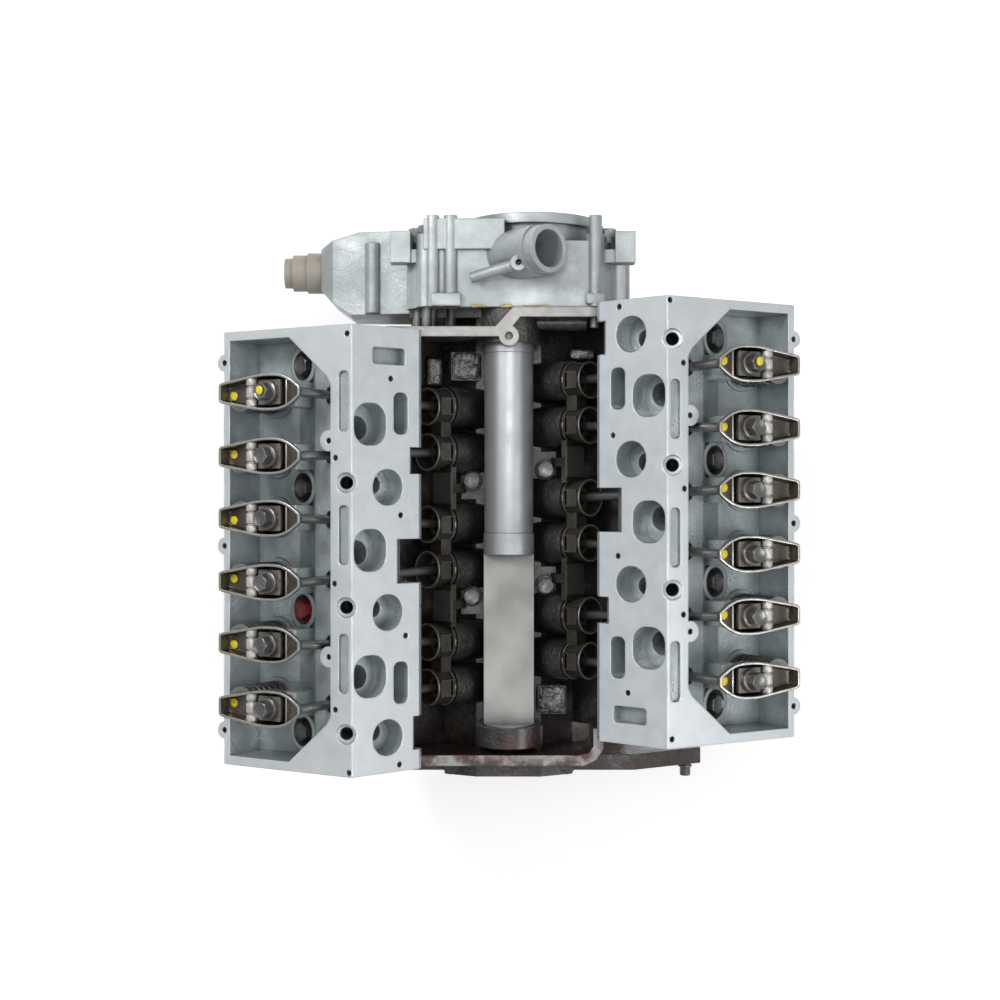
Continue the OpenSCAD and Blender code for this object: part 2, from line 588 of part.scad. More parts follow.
// The rear weight is cut flat above its middle; the front weight is cut flat below it
flat_up = 4;
module balance_shaft() color([0.62, 0.64, 0.66]) translate([0, 0, balance_z]) {
    rod_y(balance_rear - 19, balance_rear, balance_r);
    rod_y(balance_front, block_front + 1, balance_r);
    intersection() {
        rod_y(balance_rear - 1, balance_mid + 1, balance_r);
        translate([-balance_r, 0, -balance_r]) cube([balance_d, balance_mid + 1, balance_r + flat_up]);
    }
    rod_y(balance_mid - 1, balance_mid + 18, balance_r);
    rod_y(balance_mid + 17, balance_front + 1, balance_r - 7);
    intersection() {
        rod_y(balance_mid + 17, balance_front + 1, balance_r - 0.8);
        translate([-balance_r, balance_mid, -flat_up]) cube([balance_d, balance_front, balance_r + flat_up]);
    }
    rod_y(block_front, gear_y + gear_w, 10);
    translate([0, gear_y + gear_w, 0]) rotate([90, 0, 0])
        gear(balance_gear_teeth, gear_w, 9, 180 / balance_gear_teeth);
}

module connecting_rods() color([0.5, 0.5, 0.52])
    for (side = [-1, 1], i = [0 : 2]) on_bank(side) bore_frame(bore_y(side, i)) {
        phase = own_phase(side, i);
        translate([throw * sin(phase), -rod_w / 2, throw * cos(phase)]) rotate([0, -rod_lean(side, i), 0])
            difference() {
                union() {
                    rotate([-90, 0, 0]) cylinder(h = rod_w, r = pin_r + 6.5);
                    for (x = [-1, 1]) translate([x * (pin_r + 6) - 6, 2, -14]) cube([12, rod_w - 4, 28]);
                    translate([-11, 3, 20]) cube([22, rod_w - 6, rod_len - 24]);
                    translate([0, 0, rod_len]) rotate([-90, 0, 0]) cylinder(h = rod_w, r = gudgeon_d / 2 + 5);
                }
                translate([0, -1, 0]) rotate([-90, 0, 0]) cylinder(h = rod_w + 2, r = pin_r + run);
                translate([0, -1, rod_len]) rotate([-90, 0, 0])
                    cylinder(h = rod_w + 2, r = gudgeon_d / 2 + run);
                for (y = [-1, rod_w - 6]) translate([-7, y, 42]) cube([14, 7, rod_len - 66]);
            }
    }

module pistons() color([0.7, 0.71, 0.72])
    for (side = [-1, 1], i = [0 : 2]) on_bank(side) bore_frame(bore_y(side, i))
        translate([0, 0, piston_u(side, i)]) {
            difference() {
                translate([0, 0, -20]) cylinder(h = 20 + crown_h, r = bore_r - run);
                translate([0, 0, crown_h - 6]) cylinder(h = 10, r = bore_r - 8);
                translate([0, 0, -21]) cylinder(h = 15 + crown_h, r = bore_r - 5);
                for (z = [0 : 2]) translate([0, 0, crown_h - 12 - 6 * z]) difference() {
                    cylinder(h = 2, r = bore_r + 1);
                    translate([0, 0, -1]) cylinder(h = 4, r = bore_r - 2.5);
                }
                rotate([90, 0, 0]) cylinder(h = bore_d, r = gudgeon_d / 2, center = true);
            }
            difference() {
                for (y = [-34, 14]) translate([-16, y, -14]) cube([32, 20, crown_h + 6]);
                rotate([90, 0, 0]) cylinder(h = bore_d, r = gudgeon_d / 2, center = true);
            }
            rotate([90, 0, 0]) cylinder(h = bore_d - 16, r = gudgeon_d / 2, center = true);
        }

module main_bearing_caps() color([0.3, 0.31, 0.32]) {
    for (i = [0 : 3]) difference() {
        translate([-cap_x, main_y(i) - main_len / 2 + 0.5, -cap_h]) cube([2 * cap_x, main_len - 1, cap_h]);
        rod_y(main_y(i) - main_len, main_y(i) + main_len, main_r + run);
        for (x = [-cap_bolt_x, cap_bolt_x]) translate([x, main_y(i), -cap_h - 1])
            cylinder(h = cap_h + 2, r = bolt_hole_r);
    }
    for (i = [0 : 3], x = [-cap_bolt_x, cap_bolt_x]) translate([x, main_y(i), -cap_h]) {
        cylinder(h = cap_h + 40, r = bolt_hole_r - run);
        translate([0, 0, -9]) hex_head(15, 9);
    }
}

module rear_seal_retainer() color([0.12, 0.12, 0.13]) {
    slab(block_rear - seal_t, block_rear) difference() {
        circle(r = 60);
        circle(r = seal_r + run);
    }
    rod_y_ring(block_rear, block_rear + 12, seal_r + run, seal_r + 3.5);
}
module rod_y_ring(y0, y1, r_in, r_out) {
    difference() { rod_y(y0, y1, r_out); rod_y(y0 - 1, y1 + 1, r_in); }
}

module oil_pan() color([0.12, 0.12, 0.13]) translate([0, 0, -rail_z]) {
    front = chamber_y - 4;
    difference() {
        union() {
            translate([0, 0, -pan_t]) linear_extrude(pan_t) polygon([[-126, block_rear], [126, block_rear],
                [126, block_front], [66, block_front], [66, front], [-66, front], [-66, block_front],
                [-126, block_front]]);
            translate([-98, 30, -34]) cube([196, block_front - 40, 33]);
            translate([-56, block_front - 20, -34]) cube([112, front - block_front + 12, 33]);
            translate([-88, 110, -pan_depth]) cube([176, 300, pan_depth - 30]);
        }
        translate([-98 + pan_t, 30 + pan_t, -34 + pan_t]) cube([196 - 2 * pan_t, block_front - 40 - 2 * pan_t, 60]);
        translate([-56 + pan_t, block_front - 25, -34 + pan_t]) cube([112 - 2 * pan_t, front - block_front + 17 - pan_t, 60]);
        translate([-88 + pan_t, 110 + pan_t, -pan_depth + pan_t]) cube([176 - 2 * pan_t, 300 - 2 * pan_t, pan_depth]);
    }
}

module cover_bolt_places() {
    for (p = inset(cover_outline, 7)) if (p.y > -rail_z + 20) translate([p.x, 0, p.y]) children();
}

module front_cover() color([0.60, 0.65, 0.67]) difference() {
    union() {
        slab(block_front, chamber_y + 8) polygon(cover_outline);
        cover_bolt_places() rod_y(block_front, chamber_y + 14, 9);
        for (x = [-97, 104]) {
            translate([x - 9, block_front + 40, 205]) cube([18, 28, 18]);
            translate([x > 0 ? x - 20 : x + 2, block_front + 40, 207]) cube([18, 12, 14]);
        }
        rod_y(chamber_y, cover_front, 56, [22, 168]);
        rod_y(chamber_y, cover_front - 8, 30, [-50, 196]);
        rod_y(chamber_y, chamber_y + 15, 36);
        between(outlet_mouth - outlet_len * outlet_way, outlet_mouth, outlet_d / 2);
        between(outlet_mouth - outlet_len * outlet_way, outlet_mouth - hose_seat * outlet_way, outlet_d / 2 + 1);
        translate([lug_at.x, lug_at.y, lug_at.z - 20]) cylinder(h = 20, r = 7);
        between(lug_at - [0, 0, 6], [-33, lug_at.y - 11, lug_at.z - 18], 5);
        for (x = post_xs) rod_y(block_front, cover_front - 3, 6, [x, 225]);
        slab(chamber_y, cover_front - 6) polygon([[-76, 200], [-76, 229], [-4, 231], [-4, 200]]);
        rod_y(cover_front - 9, cover_front, 61, [22, 168]);
        rod_y(block_front + 4, cover_front - 14, 7, [-128, 143]);
        difference() {
            intersection() {
                slab(block_front, cover_front) polygon([[-88, 60], [housing_x + 12, 66], [housing_x, 78],
                    [housing_x, 122], [housing_x + 12, 134], [-130, 143], [-88, 150]]);
                linear_extrude(200) polygon([[-88, block_front + 3], [-150, block_front + 3], [-168, block_front + 16],
                    [housing_x, plug_y - plug_r], [housing_x, plug_y + plug_r], [-168, cover_front - 10],
                    [-142, cover_front - 3], [-88, cover_front - 3]]);
            }
            slab(cover_front - 20, cover_front) polygon([[-96, 74], [-132, 76], [-132, 128], [-96, 132]]);
        }
    }
    slab(block_front - 1, chamber_y) polygon(inset(cover_outline, cover_wall + 12));
    slab(block_front + 8, chamber_y - 4) polygon(inset(cover_outline, cover_wall));
    translate([-60, block_front - 1, -rail_z - 1]) cube([120, chamber_y - block_front - 3, 20]);
    rod_y(block_front - 1, block_front + 9, balance_r + 1.2, [0, balance_z]);
    translate([lug_at.x, lug_at.y, lug_at.z - 12]) cylinder(h = 30, r = 2.6);
    rod_y(chamber_y - 1, chamber_y + 30, hub_r + 0.2);
    rod_y(cover_front - 24, cover_front + 1, 46, [22, 168]);
    cover_bolt_places() {
        rod_y(block_front - 1, cover_front + 1, small_bolt_r + run);
        rod_y(chamber_y + 14, cover_front + 1, 9.5);
    }
    translate(outlet_mouth) rotate([0, outlet_tilt, 0]) translate([0, 0, -40]) cylinder(h = 60, r = outlet_bore / 2);
    translate([housing_x - 1, plug_y, plug_z]) rotate([0, 90, 0]) cylinder(h = 20, r = plug_r - 5);
}

module side_plug() color([0.80, 0.76, 0.70]) translate([plug_x, plug_y, plug_z]) rotate([0, 90, 0]) {
    cylinder(h = housing_x - plug_x, r = plug_r - 8);
    translate([0, 0, 8]) cylinder(h = housing_x - plug_x - 8, r = plug_r - 2);
    translate([0, 0, 22]) cylinder(h = housing_x - plug_x - 22, r = plug_r);
    cylinder(h = housing_x - plug_x + 15, r = plug_r - 5 - run);
}

module cover_bolts() color([0.55, 0.56, 0.58]) {
    cover_bolt_places() {
        rod_y(block_front - 18, chamber_y + 14, small_bolt_r);
        translate([0, chamber_y + 22, 0]) rotate([90, 0, 0]) hex_head(13, 8);
    }
}

module rocker_fulcrums() color([0.35, 0.33, 0.31]) each_train() valve_frame(train_y($side, $n, valve_y))
    translate([pivot_x, 0, pivot_z]) difference() {
        union() {
            intersection() {
                rotate([90, 0, 0]) cylinder(h = rocker_w - 9, r = fulcrum_r, center = true);
                translate([-20, -20, -20]) cube([40, 40, 22]);
            }
            translate([0, 0, pedestal_z - pivot_z]) cylinder(h = 12, r = 6);
            cylinder(h = 3.5, r = 10);
        }
        translate([0, 0, -30]) cylinder(h = 60, r = small_bolt_r + run);
    }

module rocker_bolts() color([0.35, 0.34, 0.33]) each_train() valve_frame(train_y($side, $n, valve_y))
    translate([pivot_x, 0, pivot_z]) {
        translate([0, 0, -44]) cylinder(h = 48, r = small_bolt_r);
        translate([0, 0, 3.5]) { cylinder(h = 2, r = 8.5); hex_head(12, 9); }
    }

module valve_springs() color([0.5, 0.52, 0.55]) each_train() valve_frame(train_y($side, $n, valve_y))
    translate([0, 0, seat_z]) rotate_extrude() polygon(spring_outline());
coils = 6;
function spring_outline() = let (h = spring_top - seat_z, r = spring_d / 2, w = 4, p = h / coils)
    concat([for (k = [0 : coils - 1], c = [[0, 0], [0.5, 0.5]]) [r - 1 + c[1] * 2, (k + c[0]) * p]], [[r - 1, h]],
        [[r - w, h], [r - w, 0]]);

tab_h = 6;
module lifter_guides() color([0.36, 0.33, 0.30]) for (side = [-1, 1], i = [0 : 2]) on_bank(side)
    lifter_frame(bore_y(side, i)) difference() {
        union() {
            for (s = [-1, 1]) translate([0, s * lifter_gap_y / 2, 0]) {
                translate([0, 0, guide_low]) cylinder(h = guide_high - guide_low, r = guide_r - 0.8);
                for (z = [guide_low, guide_high - 2]) translate([0, 0, z]) cylinder(h = 2, r = guide_r);
                translate([-guide_r - 0.6, -8, guide_low + 2]) cube([4, 16, guide_high - guide_low - 4]);
            }
            translate([-9, -lifter_gap_y / 2, guide_low]) cube([14, lifter_gap_y, 12]);
            for (s = [-1, 1]) if (i + s >= 0 && i + s <= 2)
                translate([-guide_r + 1, s > 0 ? 34 : -49, guide_low]) cube([22, 15, tab_h]);
        }
        for (s = [-1, 1]) translate([0, s * lifter_gap_y / 2, 0]) {
            cylinder(h = 200, r = lifter_d / 2 + run);
            translate([0, 0, lifter_top + 1]) cylinder(h = 200, r = guide_r - 2.5);
            translate([-guide_r - 2, -6.5, guide_low + 5]) cube([8, 13, 2.6]);
        }
    }

retainer_x = 34;
// Centres of the retainers' four bolts: each plate's bolts follow the bank offset
function retainer_places() = [for (i = [0, 1], side = [-1, 1])
    [side * retainer_x, mid_y + (i - 0.5) * bore_pitch + side * 5]];
// A point on the wing's underside, next to its edge over the valley
function wing_edge(along) = let (u = guide_low + tab_h + 0.4, v = -guide_r - 1 + along)
    [u * sin(lifter_tilt) + v * cos(lifter_tilt), cam_z + u * cos(lifter_tilt) - v * sin(lifter_tilt)];
module guide_retainers() color([0.36, 0.33, 0.30]) {
    for (i = [0, 1]) translate([0, mid_y + (i - 0.5) * bore_pitch, 0]) difference() {
        translate([0, 0, valley_z]) linear_extrude(2.5)
            union() {
                polygon([[-44, -22], [-22, -22], [20, -3], [44, 0], [44, 22], [22, 22], [-20, 3], [-44, 0]]);
                for (side = [-1, 1]) translate([side * retainer_x, side * 5]) circle(r = 9);
            }
        for (side = [-1, 1]) translate([side * retainer_x, side * 5, 0]) cylinder(h = 300, r = small_bolt_r + run);
    }
    for (i = [0, 1], side = [-1, 1]) on_bank(side) {
        y = bank_y(side) + (i - 0.5) * bore_pitch;
        lifter_frame(y) translate([-guide_r - 1, -14, guide_low + tab_h]) cube([24, 28, 2.5]);
        slab(y - 4, y + 4) polygon([[39, valley_z + 2], [44, valley_z + 1], wing_edge(5), wing_edge(0)]);
    }
    for (p = retainer_places()) translate([p.x, p.y, valley_z + 2.5]) {
        translate([0, 0, -22]) cylinder(h = 24, r = small_bolt_r);
        cylinder(h = 2, r = 9);
        hex_head(13, 9);
    }
}

// One train's moving pieces
module rocker(side, n) color([0.42, 0.38, 0.34]) on_bank(side) valve_frame(train_y(side, n, valve_y))
    translate([pivot_x, 0, pivot_z]) rotate([0, -rocker_swing / 2, 0]) difference() {
        union() {
            for (s = [-1, 1]) translate([-rocker_in - 4, s * (rocker_w / 2 - 1.25) - 1.25, -8])
                cube([rocker_in + rocker_out + 6, 2.5, 15]);
            rotate([90, 0, 0]) cylinder(h = rocker_w - 1, r = trough_r, center = true);
            translate([0, -rocker_w / 2 + 1, -8]) cube([rocker_out - 2, rocker_w - 2, 4]);
            translate([-rocker_in - 4, -rocker_w / 2 + 1, -cup_drop]) cube([rocker_in, rocker_w - 2, 6]);
            translate([rocker_out, 0, 0]) rotate([90, 0, 0]) cylinder(h = rocker_w - 1, r = pad_r, center = true);
        }
        rotate([90, 0, 0]) cylinder(h = rocker_w - 5, r = fulcrum_r + 0.2, center = true);
        translate([-30, -60, 7]) cube([90, 120, 60]);
        translate([-11, -rocker_w / 2 + 2.5, -1]) cube([22, rocker_w - 5, 60]);
        translate([-8.5, -7, -30]) cube([17, 14, 40]);
        translate([rocker_out - 9, -rocker_w / 2 + 4, -2]) cube([30, rocker_w - 8, 20]);
        translate([-rocker_in, 0, -cup_drop]) sphere(r = 6.2);
    }

module valve(side, n) color([0.55, 0.56, 0.58]) on_bank(side) valve_frame(train_y(side, n, valve_y)) {
    r = (is_intake(side, n) ? intake_d : exhaust_d) / 2;
    cylinder(h = 3, r = r);
    translate([0, 0, 3]) cylinder(h = 9, r1 = r - 2.4, r2 = stem_d / 2);
    cylinder(h = valve_len, r = stem_d / 2);
    translate([0, 0, spring_top + 0.3]) cylinder(h = retainer_h, r = spring_d / 2 - 0.5);
    translate([0, 0, spring_top + 0.3]) cylinder(h = retainer_h + 3, r = 9);
}

module pushrod(side, n) color([0.5, 0.5, 0.52]) on_bank(side) {
    y = train_y(side, n, lifter_gap_y / 2);
    lifter_frame(y) {
        difference() {
            translate([0, 0, roller_at + 1]) cylinder(h = lifter_top - roller_at - 1, r = lifter_d / 2);
            translate([0, 0, roller_at]) rotate([90, 0, 0]) cylinder(h = 12.6, r = roller_r + 0.6, center = true);
            translate([0, 0, lifter_top - 4]) cylinder(h = 10, r = 7);
        }
        translate([0, 0, roller_at]) rotate([90, 0, 0]) cylinder(h = 12, r = roller_r, center = true);
        translate([0, 0, roller_at]) rotate([90, 0, 0]) cylinder(h = 16, r = 3, center = true);
    }
    between(lifter_point(lifter_top - 5, y), lifter_point(cup_r - gap, train_y(side, n, valve_y)), pushrod_d / 2);
}

cylinder_block();
left_head();
right_head();
head_gaskets();
head_bolts();
front_cover();
side_plug();
cover_bolts();
oil_pan();
main_bearing_caps();
rear_seal_retainer();
rocker_fulcrums();
rocker_bolts();
valve_springs();
lifter_guides();
guide_retainers();
timing_chain();
connecting_rods();
pistons();
crankshaft();
crank_sprocket();
camshaft();
cam_sprocket();
balance_shaft();
for (side = [-1, 1], n = [1 : 6]) {
    rocker(side, n);
    valve(side, n);
    pushrod(side, n);
}
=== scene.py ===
from math import asin, cos, degrees, pi, radians, sin

import bmesh
import bpy
from mathutils import Matrix, Vector


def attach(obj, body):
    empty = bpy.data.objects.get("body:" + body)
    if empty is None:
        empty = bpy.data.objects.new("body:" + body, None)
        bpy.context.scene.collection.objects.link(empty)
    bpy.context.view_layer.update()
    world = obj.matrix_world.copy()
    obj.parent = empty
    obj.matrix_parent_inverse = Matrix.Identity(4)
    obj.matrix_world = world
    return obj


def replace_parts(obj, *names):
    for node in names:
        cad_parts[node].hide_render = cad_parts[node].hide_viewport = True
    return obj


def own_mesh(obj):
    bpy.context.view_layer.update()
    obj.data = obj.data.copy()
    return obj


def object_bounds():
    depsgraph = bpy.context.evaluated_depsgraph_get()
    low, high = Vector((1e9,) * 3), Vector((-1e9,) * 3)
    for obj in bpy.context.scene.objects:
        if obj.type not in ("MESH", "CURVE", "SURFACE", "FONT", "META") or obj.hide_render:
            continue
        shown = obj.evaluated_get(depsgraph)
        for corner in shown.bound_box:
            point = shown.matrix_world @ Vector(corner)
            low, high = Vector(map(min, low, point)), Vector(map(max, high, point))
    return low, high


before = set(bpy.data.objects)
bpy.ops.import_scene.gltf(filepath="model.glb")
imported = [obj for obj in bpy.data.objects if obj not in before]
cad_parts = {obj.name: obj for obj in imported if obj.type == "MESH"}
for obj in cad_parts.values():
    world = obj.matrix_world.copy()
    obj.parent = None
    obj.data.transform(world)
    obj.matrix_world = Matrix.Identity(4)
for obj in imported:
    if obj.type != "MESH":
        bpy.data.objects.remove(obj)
cad_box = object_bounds()
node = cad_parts
mm = 0.001


# Cylinder block: one grey iron casting with an open lifter valley between two decks.
# Sand-cast walls stay rough and take on an oily brown; rails, decks and bores are milled.
milled_reach = 0.2 * mm
milled_calm = 0.12
coat_rough = 0.25
bump_strength = 0.6
corner_rays, shade_rays = 4, 5


def metal(name, pale, dark, patch=22, grain=900, rough=(0.35, 0.6), shine=0.5, relief=0.25, edge=0.5,
          milled=(), milled_tone=(0.6, 0.62, 0.64), corner_shade=None, reach=9, shade_span=(0.35, 0.95), gloss=0.0,
          milled_rough=(0.30, 0.42), tints=()):
    """A metal in two tones, with fine grain, rounded corners, milled planes, tints and painted shade in
    corners.

    milled holds a normal and an offset for each milled plane, tints a direction, where the tint starts and
    is full along it, and its colour. corner_shade is a colour painted in as shade where occlusion finds
    nearby surfaces, reach is its distance in mm, and shade_span the occlusion at which it is full and at
    none.
    """
    finish = bpy.data.materials.new(name)
    finish.use_nodes = True
    tree = finish.node_tree
    link = tree.links.new
    shader = tree.nodes["Principled BSDF"]
    shader.inputs["Metallic"].default_value = shine
    shader.inputs["Coat Weight"].default_value = gloss
    shader.inputs["Coat Roughness"].default_value = coat_rough
    place = tree.nodes.new("ShaderNodeTexCoord").outputs["Object"]

    def noise(scale, detail=4.0, roughness=0.55):
        made = tree.nodes.new("ShaderNodeTexNoise")
        made.inputs["Scale"].default_value = scale
        made.inputs["Detail"].default_value = detail
        made.inputs["Roughness"].default_value = roughness
        link(place, made.inputs["Vector"])
        return made.outputs["Fac"]

    def spread(value, low, high, to_low=0.0, to_high=1.0):
        made = tree.nodes.new("ShaderNodeMapRange")
        for key, number in (("From Min", low), ("From Max", high), ("To Min", to_low), ("To Max", to_high)):
            made.inputs[key].default_value = number
        link(value, made.inputs["Value"])
        return made.outputs["Result"]

    def reckon(what, a, b):
        made = tree.nodes.new("ShaderNodeMath")
        made.operation = what
        for socket, value in zip(made.inputs, (a, b)):
            if isinstance(value, (int, float)):
                socket.default_value = value
            else:
                link(value, socket)
        return made.outputs["Value"]

    def blend(amount, under, over):
        made = tree.nodes.new("ShaderNodeMix")
        made.data_type = "RGBA"
        link(amount, made.inputs["Factor"])
        for socket, value in ((made.inputs["A"], under), (made.inputs["B"], over)):
            if isinstance(value, tuple):
                socket.default_value = (*value, 1)
            else:
                link(value, socket)
        return made.outputs["Result"]

    clouds = spread(noise(patch, 6, 0.62), 0.34, 0.68)
    fine = noise(grain, 3)
    colour = blend(clouds, dark, pale)
    colour = blend(spread(fine, 0.3, 0.75, 0.0, 0.35), colour, dark)
    roughness = spread(reckon("MULTIPLY", fine, clouds), 0.1, 0.5, rough[1], rough[0])
    height = reckon("ADD", fine, reckon("MULTIPLY", noise(grain / 5, 3), 1.6))
    flat = None
    for normal, offset in milled:
        along = tree.nodes.new("ShaderNodeVectorMath")
        along.operation = "DOT_PRODUCT"
        along.inputs[1].default_value = normal
        link(place, along.inputs[0])
        away = reckon("ABSOLUTE", reckon("SUBTRACT", along.outputs["Value"], offset), 0)
        hit = reckon("LESS_THAN", away, milled_reach)
        flat = hit if flat is None else reckon("MAXIMUM", flat, hit)
    if flat is not None:
        cutter = noise(patch * 2.2, 5, 0.5)
        sheen = blend(spread(cutter, 0.35, 0.7), milled_tone, tuple(0.84 * c for c in milled_tone))
        colour = blend(flat, colour, sheen)
        height = reckon("MULTIPLY", height, spread(flat, 0, 1, 1.0, milled_calm))
        roughness = blend(flat, roughness, spread(cutter, 0.3, 0.7, *milled_rough))
    for direction, start, full, tone in tints:
        along = tree.nodes.new("ShaderNodeVectorMath")
        along.operation = "DOT_PRODUCT"
        along.inputs[1].default_value = direction
        link(place, along.inputs[0])
        patchy = spread(noise(patch * 1.3, 5, 0.6), 0.42, 0.58)
        colour = blend(reckon("MULTIPLY", spread(along.outputs["Value"], start, full), patchy), colour, tone)
    # Painted shade: the occlusion node darkens corners and hollows towards the corner shade colour, in
    # patches.
    if corner_shade is not None:
        shade = tree.nodes.new("ShaderNodeAmbientOcclusion")
        shade.samples = shade_rays
        shade.inputs["Distance"].default_value = reach * mm
        shade_amount = reckon("MULTIPLY", spread(shade.outputs["AO"], shade_span[0], shade_span[1], 1.0, 0.0),
                       spread(noise(patch * 1.7, 5), 0.3, 0.6, 0.45, 1.0))
        colour = blend(shade_amount, colour, corner_shade)
    rounded = tree.nodes.new("ShaderNodeBevel")
    rounded.samples = corner_rays
    rounded.inputs["Radius"].default_value = edge * mm
    bump = tree.nodes.new("ShaderNodeBump")
    bump.inputs["Strength"].default_value = bump_strength
    bump.inputs["Distance"].default_value = relief * mm
    link(height, bump.inputs["Height"])
    link(rounded.outputs["Normal"], bump.inputs["Normal"])
    link(bump.outputs["Normal"], shader.inputs["Normal"])
    link(colour, shader.inputs["Base Color"])
    link(roughness, shader.inputs["Roughness"])
    return finish


def dress(finish, *names):
    """Gives CAD objects their material."""
    for name in names:
        slots = node[name].material_slots
        for place in slots:
            place.material = finish
        if not slots:
            node[name].data.materials.append(finish)


forward, up, rearward = (0, 1, 0), (0, 0, 1), (0, -1, 0)
wall_top = 228 * mm
block_rear, block_front = 20 * mm, 449 * mm
red_oxide, worn_rear = (0.085, 0.020, 0.018), (0.045, 0.043, 0.040)
# Painted shade: within 26 mm of other surfaces, the block's corners and valley walls are darkened almost to
# black.
iron = metal("block_iron", (0.125, 0.123, 0.118), (0.014, 0.013, 0.012), patch=34, grain=330,
             rough=(0.20, 0.50), shine=0.45, relief=2.0, edge=1.6,
             milled=[(up, wall_top), (forward, block_front), (forward, block_rear)],
             milled_tone=(0.32, 0.312, 0.30), milled_rough=(0.34, 0.5), corner_shade=(0.006, 0.006, 0.006),
             reach=26, gloss=0.55, tints=[(rearward, -80 * mm, -52 * mm, red_oxide),
                                          (rearward, -48 * mm, -44 * mm, worn_rear)])
dress(iron, "cylinder_block")
cap_iron = metal("cap_iron", (0.16, 0.155, 0.15), (0.06, 0.058, 0.055), grain=500, shine=0.4, relief=0.5)
dress(cap_iron, "main_bearing_caps")


# Lumps of the casting on the valley floor: sand-rough faces that stand clear of the oil.
# Each has its place and its size in mm.
def start_piece():
    """Leaves edit mode and deselects all, before anything is added."""
    if bpy.context.object and bpy.context.object.mode != "OBJECT":
        bpy.ops.object.mode_set(mode="OBJECT")
    bpy.ops.object.select_all(action="DESELECT")


def apply_all(piece):
    """Applies the piece's modifiers in their order."""
    bpy.context.view_layer.objects.active = piece
    for step in list(piece.modifiers):
        bpy.ops.object.modifier_apply(modifier=step.name)


def settle(piece, name, finishes, sharp=35):
    """Applies place and modifiers, smooths the round faces and names the piece."""
    start_piece()
    piece.select_set(True)
    bpy.context.view_layer.objects.active = piece
    bpy.ops.object.transform_apply(location=True, rotation=True, scale=True)
    apply_all(piece)
    bpy.ops.object.shade_smooth_by_angle(angle=radians(sharp))
    piece.name = piece.data.name = name
    if finishes:
        piece.data.materials.clear()
        for finish in finishes:
            piece.data.materials.append(finish)
    return piece


def rounded_box(place, size, width, segments):
    """A box with round edges, not yet settled; all sizes are in mm."""
    start_piece()
    bpy.ops.mesh.primitive_cube_add(size=1, location=[c * mm for c in place], scale=[c * mm for c in size])
    made = bpy.context.object
    soften = made.modifiers.new("edge", "BEVEL")
    soften.width, soften.segments = width * mm, segments
    return made


round_share = 0.3


def blob(name, place, size, finish, coarse=6 * mm, height=2 * mm, cuts=18):
    """A rounded box with a lumpy skin."""
    made = rounded_box(place, size, min(size) * round_share, 3)
    bpy.ops.object.transform_apply(location=True, rotation=True, scale=True)
    apply_all(made)
    bpy.ops.object.mode_set(mode="EDIT")
    bpy.ops.mesh.select_all(action="SELECT")
    bpy.ops.mesh.subdivide(number_cuts=cuts)
    bpy.ops.object.mode_set(mode="OBJECT")
    clouds = bpy.data.textures.new(name, "CLOUDS")
    clouds.noise_scale, clouds.noise_depth = coarse, 2
    skin = made.modifiers.new("skin", "DISPLACE")
    skin.texture, skin.texture_coords, skin.strength, skin.mid_level = clouds, "LOCAL", height, 0.5
    settle(made, name, [finish], 60)
    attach(made, "engine_block")


# Painted shade: the corners of the lumps go nearly black.
rough_iron = metal("rough_iron", (0.30, 0.30, 0.295), (0.035, 0.034, 0.032), patch=150, grain=520,
                   rough=(0.16, 0.42), shine=0.6, relief=2.2, edge=0.8, corner_shade=(0.01, 0.01, 0.01),
                   reach=6, gloss=0.6)
for name, place, size in (("lump_front_left", (-40, 400.5, 166), (29, 28, 20)),
                          ("lump_rear_right", (40, 92.5, 166), (29, 28, 20)),
                          ("lump_front_wall", (-69, 396, 160), (14, 27, 22)),
                          ("lump_front_right", (68, 411, 172), (22, 9, 16))):
    blob(name, place, size, rough_iron)


# Rotating assembly: nodular iron crankshaft with ground journals, forged rods and cast pistons,
# held by the bearing caps. Little of it shows from above beyond the rear flange.
# Painted shade: the crankshaft's corners are darkened towards brown.
journal = metal("crank_iron", (0.26, 0.255, 0.25), (0.11, 0.105, 0.10), grain=420, rough=(0.28, 0.5),
                shine=0.7, milled=[(forward, 0.0)], milled_tone=(0.34, 0.33, 0.32),
                corner_shade=(0.03, 0.025, 0.02))
dress(journal, "crankshaft")
forging = metal("rod_forging", (0.20, 0.195, 0.19), (0.09, 0.085, 0.08), grain=380, shine=0.6, relief=0.4)
dress(forging, "connecting_rods")
piston_alloy = metal("piston_alloy", (0.55, 0.56, 0.57), (0.38, 0.385, 0.39), grain=1200, rough=(0.3, 0.45),
                     shine=0.7)
dress(piston_alloy, "pistons")


# Timing drive behind the front cover: hardened sprockets, a single-row chain and the steel
# camshaft with its gear. The parts run in oil; their corners get a painted brown shade.
hardened = metal("hardened_steel", (0.24, 0.24, 0.245), (0.12, 0.118, 0.115), grain=1400,
                 rough=(0.25, 0.45), shine=0.8, relief=0.08, edge=0.3, corner_shade=(0.04, 0.03, 0.02),
                 gloss=0.3)
dress(hardened, "crank_sprocket", "cam_sprocket", "camshaft", "timing_chain")


# Balance shaft: one steel forging above the camshaft. The round weight and the journals are
# ground bright, and the flat weight keeps a sandier, duller face with an oily haze.
shaft_flat = 199.7 * mm
# Painted shade: the shaft's corners are darkened towards a dark brown-grey.
ground = metal("shaft_ground", (0.56, 0.585, 0.60), (0.33, 0.345, 0.36), patch=11, grain=1300,
               rough=(0.30, 0.48), shine=0.7, relief=0.12, edge=0.6, milled=[(up, shaft_flat)],
               milled_rough=(0.55, 0.75), milled_tone=(0.40, 0.40, 0.385), corner_shade=(0.06, 0.055, 0.05),
               reach=14)
dress(ground, "balance_shaft")


